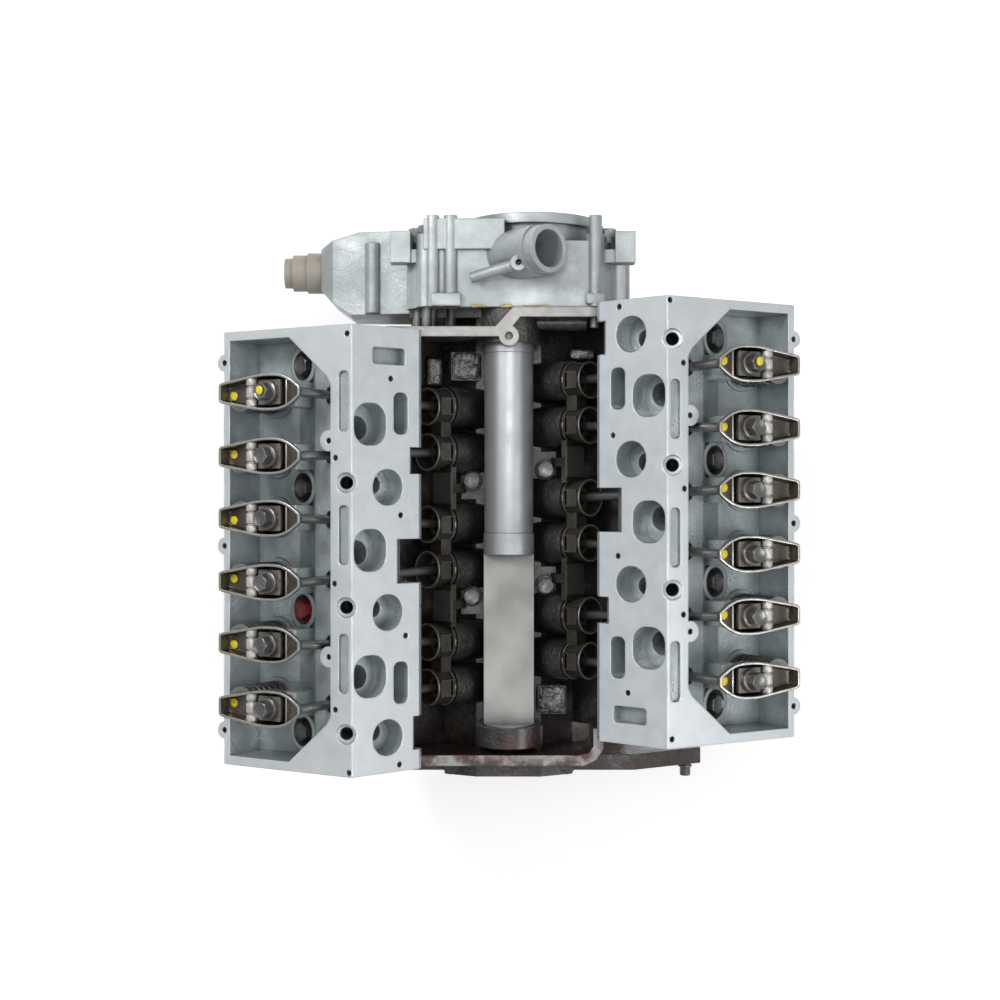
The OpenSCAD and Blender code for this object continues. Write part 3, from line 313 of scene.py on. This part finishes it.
# Lifters and pushrods: tube pushrods stand in ground roller lifters, which slide in the block's
# bores between the guides. A pushrod and its lifter are one CAD object and share one steel.
sides, numbers = ("left", "right"), range(1, 7)
# Painted shade: corners of the pushrods and lifters are darkened towards brown.
tube = metal("pushrod_steel", (0.30, 0.30, 0.305), (0.17, 0.165, 0.16), patch=60, grain=1500,
             rough=(0.22, 0.4), shine=0.85, relief=0.05, edge=0.4, corner_shade=(0.035, 0.028, 0.022), reach=7,
             gloss=0.3)
dress(tube, *[f"{side}_pushrod_{n}" for side in sides for n in numbers])


# Lifter guides: pressed steel rings that keep the rollers square to the cam, in pairs joined
# by a bridge, and the two plates that hold them down. All are a dull, oily dark brown.
# Painted shade: the guides' corners and hollows are darkened almost to black.
brown = metal("guide_steel", (0.135, 0.122, 0.105), (0.050, 0.044, 0.037), patch=40, grain=800,
              rough=(0.28, 0.5), shine=0.7, relief=0.2, edge=0.7, corner_shade=(0.008, 0.007, 0.006), reach=9,
              gloss=0.35)
dress(brown, "lifter_guides")
# Painted shade: the plates' corners are darkened towards dark brown.
plate = metal("retainer_plate", (0.13, 0.12, 0.105), (0.055, 0.05, 0.045), grain=700, shine=0.6, relief=0.2,
              corner_shade=(0.02, 0.017, 0.014), gloss=0.25)
dress(plate, "guide_retainers")


# Cylinder heads: two identical sand-cast aluminium heads. The intake faces, the cover rails and
# the decks are milled; the rocker pockets keep the grey cast skin, with painted shade in the corners.
intake_low, intake_high = Vector((78, 0, 264)), Vector((132, 0, 309))
intake_slope = intake_high - intake_low
intake_normal = Vector((-intake_slope.z, 0, intake_slope.x)).normalized()
intake_offset = intake_normal.dot(intake_low) * mm
valve_at, valve_lean, rail_rise = (176.8, 166.9), 30, 100.7
lean_x, lean_z = sin(radians(valve_lean)), cos(radians(valve_lean))
rail_offset = (valve_at[0] * lean_x + valve_at[1] * lean_z + rail_rise) * mm
for side, way in (("left", -1), ("right", 1)):
    intake_plane = ((way * intake_normal.x, 0, intake_normal.z), intake_offset)
    rail_plane = ((way * lean_x, 0, lean_z), rail_offset)
    aluminium = metal(side + "_head_alloy", (0.58, 0.64, 0.65), (0.33, 0.375, 0.385), patch=24, grain=420,
                      rough=(0.24, 0.50), shine=0.5, relief=0.55, edge=1.8, gloss=0.3,
                      milled=[intake_plane, rail_plane], milled_tone=(0.72, 0.76, 0.79),
                      corner_shade=(0.07, 0.075, 0.075), reach=15, shade_span=(0.15, 0.65))
    dress(aluminium, side + "_head")
gasket = metal("gasket_steel", (0.10, 0.10, 0.11), (0.04, 0.04, 0.045), shine=0.5)
dress(gasket, "head_gaskets")


# Head bolts: black steel hex bolts with a pressed washer, sunk in spot-faced counterbores.
# They are torqued down in the pocket between the rockers and outside the cover rail.
def pick(piece, kind, test):
    """In edit mode, selects the points, edges or faces that pass the test."""
    bpy.ops.mesh.select_all(action="DESELECT")
    bpy.context.tool_settings.mesh_select_mode = (kind == "verts", kind == "edges", kind == "faces")
    shape = bmesh.from_edit_mesh(piece.data)
    for part in getattr(shape, kind):
        if test(part):
            part.select_set(True)
    shape.select_flush_mode()
    bmesh.update_edit_mesh(piece.data)


def join_pieces(first, *others):
    """Joins the others into the first piece."""
    start_piece()
    for piece in (first, *others):
        piece.select_set(True)
    bpy.context.view_layer.objects.active = first
    bpy.ops.object.join()
    return first


def copy_to(piece, name, where, body="engine_block"):
    """A copy with its own mesh, put in its place in that mesh."""
    made = piece.copy()
    made.data = piece.data.copy()
    bpy.context.scene.collection.objects.link(made)
    made.data.transform(where)
    if where.determinant() < 0:
        made.data.flip_normals()
    made.name = made.data.name = name
    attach(made, body)
    return made


def hex_bolt(name, flats, high, washer, thick, finish, dish=0.0):
    """A bolt head on its washer, standing on z = 0. A cone trims the corners of its top face."""
    top_rim, washer_rim, washer_fall = 0.16, 0.22, 0.35
    cone_foot, cone_tip, cone_high = flats * 1.9, flats * 0.45, flats * 0.84
    start_piece()
    bpy.ops.mesh.primitive_cylinder_add(vertices=6, radius=flats / 2 / cos(pi / 6), depth=high,
                                        location=(0, 0, thick + high / 2))
    head = bpy.context.object
    bpy.ops.object.mode_set(mode="EDIT")
    pick(head, "faces", lambda f: f.normal.z > 0.9)
    bpy.ops.mesh.inset(thickness=flats * top_rim)
    bpy.ops.transform.translate(value=(0, 0, -dish))
    bpy.ops.object.mode_set(mode="OBJECT")
    start_piece()
    bpy.ops.mesh.primitive_cone_add(vertices=36, radius1=cone_foot, radius2=cone_tip, depth=cone_high,
                                    location=(0, 0, thick + high - cone_high / 2))
    cone = bpy.context.object
    trim = head.modifiers.new("chamfer", "BOOLEAN")
    trim.operation, trim.solver, trim.object = "INTERSECT", "EXACT", cone
    apply_all(head)
    bpy.data.objects.remove(cone)
    start_piece()
    bpy.ops.mesh.primitive_cylinder_add(vertices=36, radius=washer, depth=thick, location=(0, 0, thick / 2))
    ring = bpy.context.object
    bpy.ops.object.mode_set(mode="EDIT")
    pick(ring, "faces", lambda f: f.normal.z > 0.9)
    bpy.ops.mesh.inset(thickness=washer * washer_rim)
    bpy.ops.transform.translate(value=(0, 0, thick * washer_fall))
    bpy.ops.object.mode_set(mode="OBJECT")
    soften = ring.modifiers.new("edge", "BEVEL")
    soften.width, soften.segments, soften.limit_method = 0.3 * mm, 2, "ANGLE"
    apply_all(ring)
    return settle(join_pieces(head, ring), name, [finish], 32)


def tilted(side, angle, origin, y):
    """A frame that leans about the engine's length, on the right bank or mirrored to the left."""
    made = Matrix.Translation((origin[0] * mm, y * mm, origin[1] * mm))
    made = made @ Matrix.Rotation(radians(angle), 4, "Y")
    return made if side == "right" else Matrix.Diagonal((-1, 1, 1, 1)) @ made


mid_y, bank_offset, bore_pitch, bank_lean = 246.5, 24, 106.5, 45
bank_y = {"left": mid_y - bank_offset / 2, "right": mid_y + bank_offset / 2}
head_bolt_rows = ((-50, 293), (58, 262))  # place across the deck, height of the seat
# Painted shade: corners of the bolts and washers are darkened towards dark brown.
black_steel = metal("black_bolt", (0.25, 0.247, 0.243), (0.10, 0.097, 0.093), patch=70, grain=1500,
                    rough=(0.25, 0.45), shine=0.75, relief=0.08, edge=0.4, corner_shade=(0.02, 0.016, 0.012),
                    reach=5, gloss=0.2)
red_paint = metal("red_paint_mark", (0.36, 0.035, 0.045), (0.17, 0.02, 0.02), patch=120, grain=900,
                  rough=(0.3, 0.5), shine=0.1, relief=0.1, gloss=0.3)
head_bolt = hex_bolt("head_bolt", flats=15 * mm, high=12 * mm, washer=12 * mm, thick=3.5 * mm,
                     finish=black_steel, dish=1.2 * mm)
for side in sides:
    for n in range(8):
        row, step = divmod(n, 4)
        v, seat = head_bolt_rows[row]
        stand = tilted(side, bank_lean, (0, 0), bank_y[side] + (step - 1.5) * bore_pitch)
        seated = stand @ Matrix.Translation((v * mm, 0, seat * mm))
        made = copy_to(head_bolt, f"{side}_head_bolt_{n + 1}", seated)
        if side == "left" and n == 1:
            made.data.materials[0] = red_paint
        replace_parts(made, "head_bolts")
bpy.data.objects.remove(head_bolt)


# Valves and springs: polished valves in single coil springs of dark wire. Each spring stands on
# the head at its low end, at its length with the valve closed.
valve_reach = 27
# Painted shade: corners of the valves are darkened towards brown.
steel = metal("valve_steel", (0.42, 0.42, 0.425), (0.25, 0.25, 0.25), grain=1500, rough=(0.22, 0.4),
              shine=0.85, relief=0.05, edge=0.4, corner_shade=(0.05, 0.04, 0.03), reach=6)
dress(steel, *[f"{side}_valve_{n}" for side in sides for n in numbers])
# Painted shade: the spring's coils are darkened towards brown where they crowd together.
wire = metal("spring_wire", (0.20, 0.20, 0.205), (0.09, 0.09, 0.09), patch=90, grain=1600,
             rough=(0.25, 0.45), shine=0.7, relief=0.05, corner_shade=(0.02, 0.017, 0.014), reach=5,
             gloss=0.25)
spring_low, spring_top, spring_r, wire_r = 62 * mm, 105 * mm, 12.9 * mm, 2.05 * mm
coils, coil_steps, valve_lift = 5.5, 150, 10.6 * mm
start_piece()
bpy.ops.mesh.primitive_circle_add(vertices=10, radius=wire_r, location=(spring_r, 0, spring_low + wire_r),
                                  rotation=(pi / 2, 0, 0), fill_type="NGON")
spring = bpy.context.object
bpy.ops.object.transform_apply(location=True, rotation=True, scale=True)
bpy.ops.object.mode_set(mode="EDIT")
bpy.ops.mesh.select_all(action="SELECT")
bpy.ops.mesh.delete(type="ONLY_FACE")
bpy.ops.object.mode_set(mode="OBJECT")
wind = spring.modifiers.new("wind", "SCREW")
wind.angle, wind.screw_offset = 2 * pi * coils, spring_top - spring_low - 2 * wire_r
wind.steps = wind.render_steps = coil_steps
wind.use_smooth_shade = True
wind.use_merge_vertices = False
apply_all(spring)
bpy.ops.object.mode_set(mode="EDIT")
pick(spring, "edges", lambda e: e.is_boundary)
bpy.ops.mesh.fill_holes(sides=12)
bpy.ops.mesh.select_all(action="SELECT")
bpy.ops.mesh.normals_make_consistent(inside=False)
bpy.ops.object.mode_set(mode="OBJECT")
settle(spring, "spring", [wire], 60)
trains = []
for side in sides:
    for n in numbers:
        middle = bank_y[side] + (1 - (n - 1) // 2) * bore_pitch
        trains.append((side, n, middle + (valve_reach if n % 2 else -valve_reach)))
for side, n, y in trains:
    stand = tilted(side, valve_lean, valve_at, y)
    made = copy_to(spring, f"{side}_valve_spring_{n}", stand)
    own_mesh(made)
    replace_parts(made, "valve_springs")
bpy.data.objects.remove(spring)


# Rockers: pressed from 2.3 mm steel as open boats, with a deep trough around the fulcrum, a
# narrow end over the pushrod and a wide one over the valve.
rocker_out = 43
half_swing = degrees(asin(valve_lift / mm / 2 / rocker_out))
valve_tip = 129.3
pivot = (-rocker_out * cos(radians(half_swing)), valve_tip - valve_lift / mm / 2)
rocker_steel, wall_rise, rim_height = 2.3 * mm, 6 * mm, 5.6 * mm
slot_at, slot_half, slot_wide, slot_below = 3.2 * mm, 10 * mm, 5.2 * mm, -7 * mm
parked = 10  # m, where finished rows wait so that no later row picks them
rocker_plan = [  # station, half width, floor height
    (-30.0, 3.4, 1.8), (-27.0, 5.8, 0.6), (-23.0, 8.9, 0.2), (-18.5, 11.6, -0.4), (-14.0, 13.2, -3.4),
    (-10.4, 14.1, -8.3), (-6.4, 14.4, -11.7), (0.0, 14.6, -13.3), (6.4, 14.4, -11.7), (10.4, 13.9, -8.3),
    (14.0, 13.3, -6.0), (20.0, 12.3, -5.6), (27.0, 11.0, -5.8), (33.0, 10.0, -6.4), (38.0, 9.1, -7.3),
    (43.0, 8.2, -7.8), (47.0, 7.2, -6.6)]
# Painted shade: outside and inside of the rocker are darkened in their corners.
outside = metal("rocker_outside", (0.30, 0.285, 0.26), (0.14, 0.128, 0.11), patch=60, grain=900,
                rough=(0.28, 0.48), shine=0.8, relief=0.12, edge=0.5, corner_shade=(0.03, 0.024, 0.018),
                reach=6, gloss=0.3)
inside = metal("rocker_inside", (0.175, 0.158, 0.130), (0.070, 0.060, 0.047), patch=55, grain=700,
               rough=(0.22, 0.42), shine=0.75, relief=0.2, edge=0.5, corner_shade=(0.012, 0.009, 0.006), reach=5,
               shade_span=(0.2, 0.7), gloss=0.6)
# The rims are a pale steel: a painted highlight along the cut edges of the pressing.
rim_highlight_steel = metal("rocker_rim_highlight", (0.55, 0.54, 0.52), (0.34, 0.32, 0.29), patch=120, grain=1500,
                  rough=(0.22, 0.38), shine=0.85, relief=0.05, edge=0.5)
start_piece()
bpy.ops.mesh.primitive_grid_add(x_subdivisions=len(rocker_plan) - 1, y_subdivisions=6, size=2,
                                location=(0, 0, 0))
rocker = bpy.context.object
bpy.ops.object.mode_set(mode="EDIT")
for k, (station, half, floor) in enumerate(rocker_plan):
    at = -1 + 2 * k / (len(rocker_plan) - 1)
    pick(rocker, "verts", lambda v: abs(v.co.x - at) < 0.01 and abs(v.co.z) < 1e-6)
    bpy.ops.transform.resize(value=(1, half * mm, 1), center_override=(0, 0, 0))
    bpy.ops.transform.translate(value=(station * mm - at + parked, 0, floor * mm))
bpy.ops.mesh.select_all(action="SELECT")
bpy.ops.transform.translate(value=(-parked, 0, 0))
pick(rocker, "edges", lambda e: e.is_boundary)
bpy.ops.mesh.extrude_region_move(TRANSFORM_OT_translate={"value": (0, 0, wall_rise)})
bpy.ops.transform.resize(value=(1, 1, 0), center_override=(0, 0, rim_height))
pick(rocker, "faces", lambda f: abs(f.calc_center_median().x - slot_at) < slot_half
     and abs(f.calc_center_median().y) < slot_wide and f.calc_center_median().z < slot_below)
bpy.ops.mesh.delete(type="FACE")
bpy.ops.mesh.select_all(action="SELECT")
bpy.ops.mesh.normals_make_consistent(inside=False)
bpy.ops.object.mode_set(mode="OBJECT")
curve = rocker.modifiers.new("round", "SUBSURF")
curve.levels = curve.render_levels = 1
press = rocker.modifiers.new("press", "SOLIDIFY")
press.thickness, press.offset = rocker_steel, 0
press.material_offset, press.material_offset_rim = 1, 2
press.use_even_offset = True
soften = rocker.modifiers.new("edge", "BEVEL")
soften.width, soften.segments, soften.limit_method, soften.angle_limit = 0.45 * mm, 2, "ANGLE", radians(50)
for finish in (outside, inside, rim_highlight_steel):
    rocker.data.materials.append(finish)
settle(rocker, "rocker", [], 40)

# Cross barrel of a rocker: a turned steel sleeve with two oil grooves, pressed in beside the bolt.
# A strap across the narrow end, in the rims' pale steel as a painted highlight, is joined to it, and gives
# the trough a wall there.
strap_at, strap_size = (-15.5, 0, -3.4), (1.8, 23.4, 8.5)
barrel_at, barrel_r, barrel_long = (18 * mm, 0, 0.6 * mm), 4.8 * mm, 24 * mm
groove_at, groove_wide, groove_share = 5.2 * mm, 2 * mm, 0.78
groove_reach, groove_wall = 0.8 * mm, 0.25 * mm
# Painted shade: the sleeve's grooves and corners are darkened towards brown.
sleeve = metal("sleeve_steel", (0.66, 0.655, 0.63), (0.40, 0.39, 0.37), patch=120, grain=1300,
               rough=(0.3, 0.48), shine=0.4, relief=0.05, edge=0.4, corner_shade=(0.05, 0.042, 0.033), reach=3)
start_piece()
bpy.ops.mesh.primitive_cylinder_add(vertices=28, radius=barrel_r, depth=barrel_long, location=barrel_at,
                                    rotation=(pi / 2, 0, 0))
barrel = bpy.context.object
bpy.ops.object.transform_apply(location=True, rotation=True, scale=True)
bpy.ops.object.mode_set(mode="EDIT")
for groove in (-groove_at, groove_at):
    for cut in (groove - groove_wide / 2, groove + groove_wide / 2):
        bpy.ops.mesh.select_all(action="SELECT")
        bpy.ops.mesh.bisect(plane_co=(0, cut, 0), plane_no=forward)
for groove in (-groove_at, groove_at):
    pick(barrel, "faces", lambda f: abs(f.calc_center_median().y - groove) < groove_reach)
    bpy.ops.mesh.inset(thickness=groove_wall, use_boundary=True)
    bpy.ops.transform.resize(value=(groove_share, 1, groove_share),
                             center_override=(barrel_at[0], groove, barrel_at[2]))
bpy.ops.object.mode_set(mode="OBJECT")
soften = barrel.modifiers.new("edge", "BEVEL")
soften.width, soften.segments, soften.limit_method = 0.4 * mm, 2, "ANGLE"
settle(barrel, "barrel", [sleeve], 40)
strap = rounded_box(strap_at, strap_size, 0.5, 2)
settle(strap, "strap", [rim_highlight_steel], 40)
join_pieces(barrel, strap)

# Paint marks: flattened yellow dabs on every rocker and on the first bolt of each bank. Then
# every rocker gets its arm, barrel and mark, at the angle that it has with its valve closed.
dab_r, dab_wide, dab_flat = 3.2 * mm, 1.2, 0.28
tail_from, tail_shift, bolt_top = 1.5 * mm, (0.8 * mm, 0.5 * mm, 0), (0, 1 * mm, 14.6 * mm)
yellow_paint = metal("yellow_paint_mark", (0.86, 0.70, 0.03), (0.62, 0.47, 0.02), patch=150, grain=900,
                     rough=(0.35, 0.5), shine=0.0, relief=0.1)
start_piece()
bpy.ops.mesh.primitive_uv_sphere_add(segments=20, ring_count=10, radius=dab_r)
dab = bpy.context.object
bpy.ops.object.mode_set(mode="EDIT")
bpy.ops.mesh.select_all(action="SELECT")
bpy.ops.transform.resize(value=(1, dab_wide, dab_flat), center_override=(0, 0, 0))
pick(dab, "verts", lambda v: v.co.x > tail_from)
bpy.ops.transform.translate(value=tail_shift)
bpy.ops.object.mode_set(mode="OBJECT")
settle(dab, "dab", [yellow_paint], 60)

for side, n, y in trains:
    at_pivot = tilted(side, valve_lean, valve_at, y) @ Matrix.Translation((pivot[0] * mm, 0, pivot[1] * mm))
    stand = at_pivot @ Matrix.Rotation(radians(-half_swing), 4, "Y")
    body = f"{side}_rocker_{n}_body"
    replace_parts(copy_to(rocker, f"{side}_rocker_arm_{n}", stand, body), f"{side}_rocker_{n}")
    copy_to(barrel, f"{side}_rocker_barrel_{n}", stand, body)
    end = (39, 2 - 4 * (n % 2), -5.4) if side == "left" else (-25.5, 1.5 * (n % 2), 1.9)
    copy_to(dab, f"{side}_rocker_mark_{n}", stand @ Matrix.Translation([c * mm for c in end]), body)
    if n == 1:
        copy_to(dab, f"{side}_bolt_mark", at_pivot @ Matrix.Translation(bolt_top))
for used in (rocker, barrel, dab):
    bpy.data.objects.remove(used)


# Fulcrums and their bolts: sintered half-round saddles on the heads' pedestals, each held by
# one hex bolt with a round flange. The rocker rolls on the saddle's underside.
bolt_rise, bolt_turn = 3.5, 17
# Painted shade: the saddles' corners are darkened towards dark brown.
saddle_steel = metal("fulcrum_steel", (0.34, 0.325, 0.30), (0.16, 0.148, 0.13), patch=70, grain=1100,
                     rough=(0.28, 0.5), shine=0.7, relief=0.12, edge=0.6, corner_shade=(0.02, 0.016, 0.012),
                     reach=5, gloss=0.3)
dress(saddle_steel, "rocker_fulcrums")
rocker_bolt = hex_bolt("rocker_bolt", flats=13 * mm, high=9.5 * mm, washer=9.6 * mm, thick=2 * mm,
                       finish=black_steel, dish=1 * mm)
for side, n, y in trains:
    stand = tilted(side, valve_lean, valve_at, y) @ Matrix.Translation(
        (pivot[0] * mm, 0, (pivot[1] + bolt_rise) * mm))
    turned = stand @ Matrix.Rotation(radians(bolt_turn * n), 4, "Z")
    made = copy_to(rocker_bolt, f"{side}_rocker_bolt_{n}", turned)
    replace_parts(made, "rocker_bolts")
bpy.data.objects.remove(rocker_bolt)


# Front cover: one aluminium die casting over the timing drive, with the pump housing, the
# pump's side neck and the water outlet. Its bolts are zinc plated.
# Painted shade: within 20 mm of other surfaces the cover is darkened, in patches.
cover_alloy = metal("cover_alloy", (0.56, 0.60, 0.61), (0.34, 0.37, 0.38), patch=20, grain=700,
                    rough=(0.34, 0.52), shine=0.5, relief=0.45, edge=1.8, corner_shade=(0.075, 0.078, 0.078),
                    reach=20, shade_span=(0.25, 0.85), gloss=0.2)
dress(cover_alloy, "front_cover")
# Painted shade: the plug's corners are darkened.
beige = metal("plug_plastic", (0.42, 0.385, 0.33), (0.33, 0.30, 0.255), grain=900, rough=(0.42, 0.55),
              shine=0.0, relief=0.12, edge=1.0, corner_shade=(0.16, 0.14, 0.12))
dress(beige, "side_plug")
# Painted shade: corners of the zinc bolts are darkened towards brown.
zinc = metal("zinc_plate", (0.30, 0.31, 0.315), (0.12, 0.122, 0.12), patch=160, grain=1400,
             rough=(0.30, 0.5), shine=0.55, relief=0.06, edge=0.5, corner_shade=(0.08, 0.07, 0.055), reach=5)
dress(zinc, "cover_bolts")


# Bolts of the guide retainers: two zinc bolts on each side of the balance shaft, with round
# flanges, each turned a little further than the one before.
retainer_x, retainer_shift, retainer_seat, retainer_turn = 34, 5, 168.5, 0.4
retainer_bolt = hex_bolt("retainer_bolt", flats=13.6 * mm, high=9.6 * mm, washer=9.8 * mm, thick=2.4 * mm,
                         finish=zinc, dish=0.8 * mm)
for place, (x, y) in enumerate([(way * retainer_x, mid_y + step * bore_pitch + way * retainer_shift)
                                for step in (-0.5, 0.5) for way in (-1, 1)]):
    stand = Matrix.Translation((x * mm, y * mm, retainer_seat * mm))
    copy_to(retainer_bolt, f"retainer_bolt_{place + 1}",
            stand @ Matrix.Rotation(retainer_turn * place, 4, "Z"))
bpy.data.objects.remove(retainer_bolt)


# Rims of the lifter guides: thin pale rings on the edges of the pressed rings, a painted highlight.
# Each guide has one at its mouth and a slightly wider one at its foot, around the lifter's own axis.
lifter_from, lifter_lean, lifter_pitch = (0, 133.7), 46.366, 41
rim_r, rim_thick, mouth, foot, foot_share = 16.3, 0.75, 102, 83.2, 1.05
guide_highlight = metal("guide_rim_highlight", (0.46, 0.43, 0.385), (0.25, 0.23, 0.20), patch=110, grain=1300,
                   rough=(0.24, 0.4), shine=0.8, relief=0.06, edge=0.3)
start_piece()
bpy.ops.mesh.primitive_torus_add(major_segments=48, minor_segments=10, major_radius=rim_r * mm,
                                 minor_radius=rim_thick * mm)
rim = bpy.context.object
bpy.ops.object.mode_set(mode="EDIT")
bpy.ops.mesh.select_all(action="SELECT")
bpy.ops.transform.resize(value=(1, 1, 0.7), center_override=(0, 0, 0))
bpy.ops.object.mode_set(mode="OBJECT")
settle(rim, "rim", [guide_highlight], 60)
for side in sides:
    for n in range(6):
        y = bank_y[side] + (n // 2 - 1) * bore_pitch + (n % 2 - 0.5) * lifter_pitch
        stand = tilted(side, lifter_lean, lifter_from, y)
        at_mouth = stand @ Matrix.Translation((0, 0, mouth * mm))
        widened = Matrix.Diagonal((foot_share, foot_share, 1, 1))
        at_foot = stand @ Matrix.Translation((0, 0, foot * mm)) @ widened
        copy_to(rim, f"{side}_guide_rim_highlight_{n + 1}", at_mouth)
        copy_to(rim, f"{side}_guide_foot_rim_{n + 1}", at_foot)
bpy.data.objects.remove(rim)


# Sealer pressed out between the front cover and the block: three lumpy yellow beads on the
# joint, just above the rail.
bead_y, bead_z = 449.4, 228
sealer = metal("yellow_sealer", (0.55, 0.45, 0.16), (0.30, 0.22, 0.08), patch=90, grain=500,
               rough=(0.35, 0.5), shine=0.0, relief=0.3, gloss=0.3)
for name, x, size in (("sealer_1", -27, (12, 2.4, 2.4)), ("sealer_2", -2, (11, 2.2, 2.2)),
                      ("sealer_3", 24, (24, 1.6, 1.6))):
    blob(name, (x, bead_y, bead_z), size, sealer, 3 * mm, 2.2 * mm, 10)


# Machined pads of the cover over its joint with the block, and the stud in the bell flange,
# with its hex end to the rear.
for name, place, size in (("cover_pad_left", (-56, 455, 228.5), (27, 12, 7)),
                          ("cover_pad_right", (77, 456, 228.0), (17, 10, 6))):
    pad = rounded_box(place, size, 1.2, 3)
    settle(pad, name, [cover_alloy], 40)
    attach(pad, "engine_block")
stud = hex_bolt("stud", flats=10 * mm, high=9 * mm, washer=7.2 * mm, thick=1.6 * mm, finish=black_steel)
stud_at = (178 * mm, 11 * mm, 48 * mm)
copy_to(stud, "bell_stud", Matrix.Translation(stud_at) @ Matrix.Rotation(pi / 2, 4, "X"))
bpy.data.objects.remove(stud)


# Oil pan and rear seal housing: black painted steel and a black moulded plate, which close the
# engine below and behind.
black_paint = metal("black_paint", (0.020, 0.020, 0.021), (0.010, 0.010, 0.011), grain=700,
                    rough=(0.35, 0.55), shine=0.0, relief=0.15, edge=1.2, gloss=0.25)
dress(black_paint, "oil_pan", "rear_seal_retainer")


# Studio: a pale floor that looks white to the camera, a white sky, three softboxes and a camera
# that looks straight down, from the height that fits the photograph.
white, sky_level = (1, 1, 1, 1), 0.42
floor_size, floor_pale, floor_shade = 12, 0.84, 0.80
start_piece()
floor_z = cad_box[0][2]
bpy.ops.mesh.primitive_plane_add(size=floor_size, location=(0, 0.28, floor_z))
floor = bpy.context.object
floor.name = "studio_floor"
paper = bpy.data.materials.new("white_paper")
paper.use_nodes = True
tree = paper.node_tree
shader = tree.nodes["Principled BSDF"]
shader.inputs["Roughness"].default_value = 0.9
rays = tree.nodes.new("ShaderNodeLightPath")
seen = rays.outputs["Is Camera Ray"]
for kind in ("Is Glossy Ray", "Is Transmission Ray"):
    either = tree.nodes.new("ShaderNodeMath")
    either.operation = "MAXIMUM"
    tree.links.new(seen, either.inputs[0])
    tree.links.new(rays.outputs[kind], either.inputs[1])
    seen = either.outputs["Value"]
glow = tree.nodes.new("ShaderNodeMath")
glow.operation = "MULTIPLY"
glow.inputs[1].default_value = sky_level
tree.links.new(seen, glow.inputs[0])
tree.links.new(glow.outputs["Value"], shader.inputs["Emission Strength"])
shader.inputs["Emission Color"].default_value = white
speck = tree.nodes.new("ShaderNodeTexNoise")
speck.inputs["Scale"].default_value = 3
tint = tree.nodes.new("ShaderNodeMapRange")
tint.inputs["To Min"].default_value = floor_shade
tint.inputs["To Max"].default_value = floor_pale
tree.links.new(speck.outputs["Fac"], tint.inputs["Value"])
tree.links.new(tint.outputs["Result"], shader.inputs["Base Color"])
floor.data.materials.append(paper)

world = bpy.data.worlds.new("studio")
bpy.context.scene.world = world
world.use_nodes = True
tree = world.node_tree
sky = tree.nodes["Background"]
rays = tree.nodes.new("ShaderNodeLightPath")
level = tree.nodes.new("ShaderNodeMapRange")
level.inputs["To Min"].default_value = sky_level
level.inputs["To Max"].default_value = 1.0
tree.links.new(rays.outputs["Is Camera Ray"], level.inputs["Value"])
tree.links.new(level.outputs["Result"], sky.inputs["Strength"])
sky.inputs["Color"].default_value = white


def softbox(name, place, aim, size, power):
    """A square lamp that looks at its aim."""
    lamp = bpy.data.lights.new(name, "AREA")
    lamp.shape, lamp.size, lamp.energy = "SQUARE", size, power
    stand = bpy.data.objects.new(name, lamp)
    bpy.context.scene.collection.objects.link(stand)
    stand.location = place
    stand.rotation_euler = (Vector(aim) - Vector(place)).to_track_quat("-Z", "Y").to_euler()


softbox("overhead", (0.1, 0.45, 2.3), (0, 0.3, 0), 1.1, 13)
softbox("left_key", (-1.1, 1.2, 1.7), (0, 0.25, 0.2), 0.5, 17)
softbox("right_fill", (1.3, -0.2, 1.5), (0, 0.25, 0.2), 0.7, 10)

view = bpy.data.cameras.new("photo_view")
view.lens, view.sensor_width = 55.3, 36
camera = bpy.data.objects.new("photo_view", view)
bpy.context.scene.collection.objects.link(camera)
camera.location = (-0.008, 0.277, 1.593)
bpy.context.scene.camera = camera
bpy.context.scene.view_settings.view_transform = "Standard"
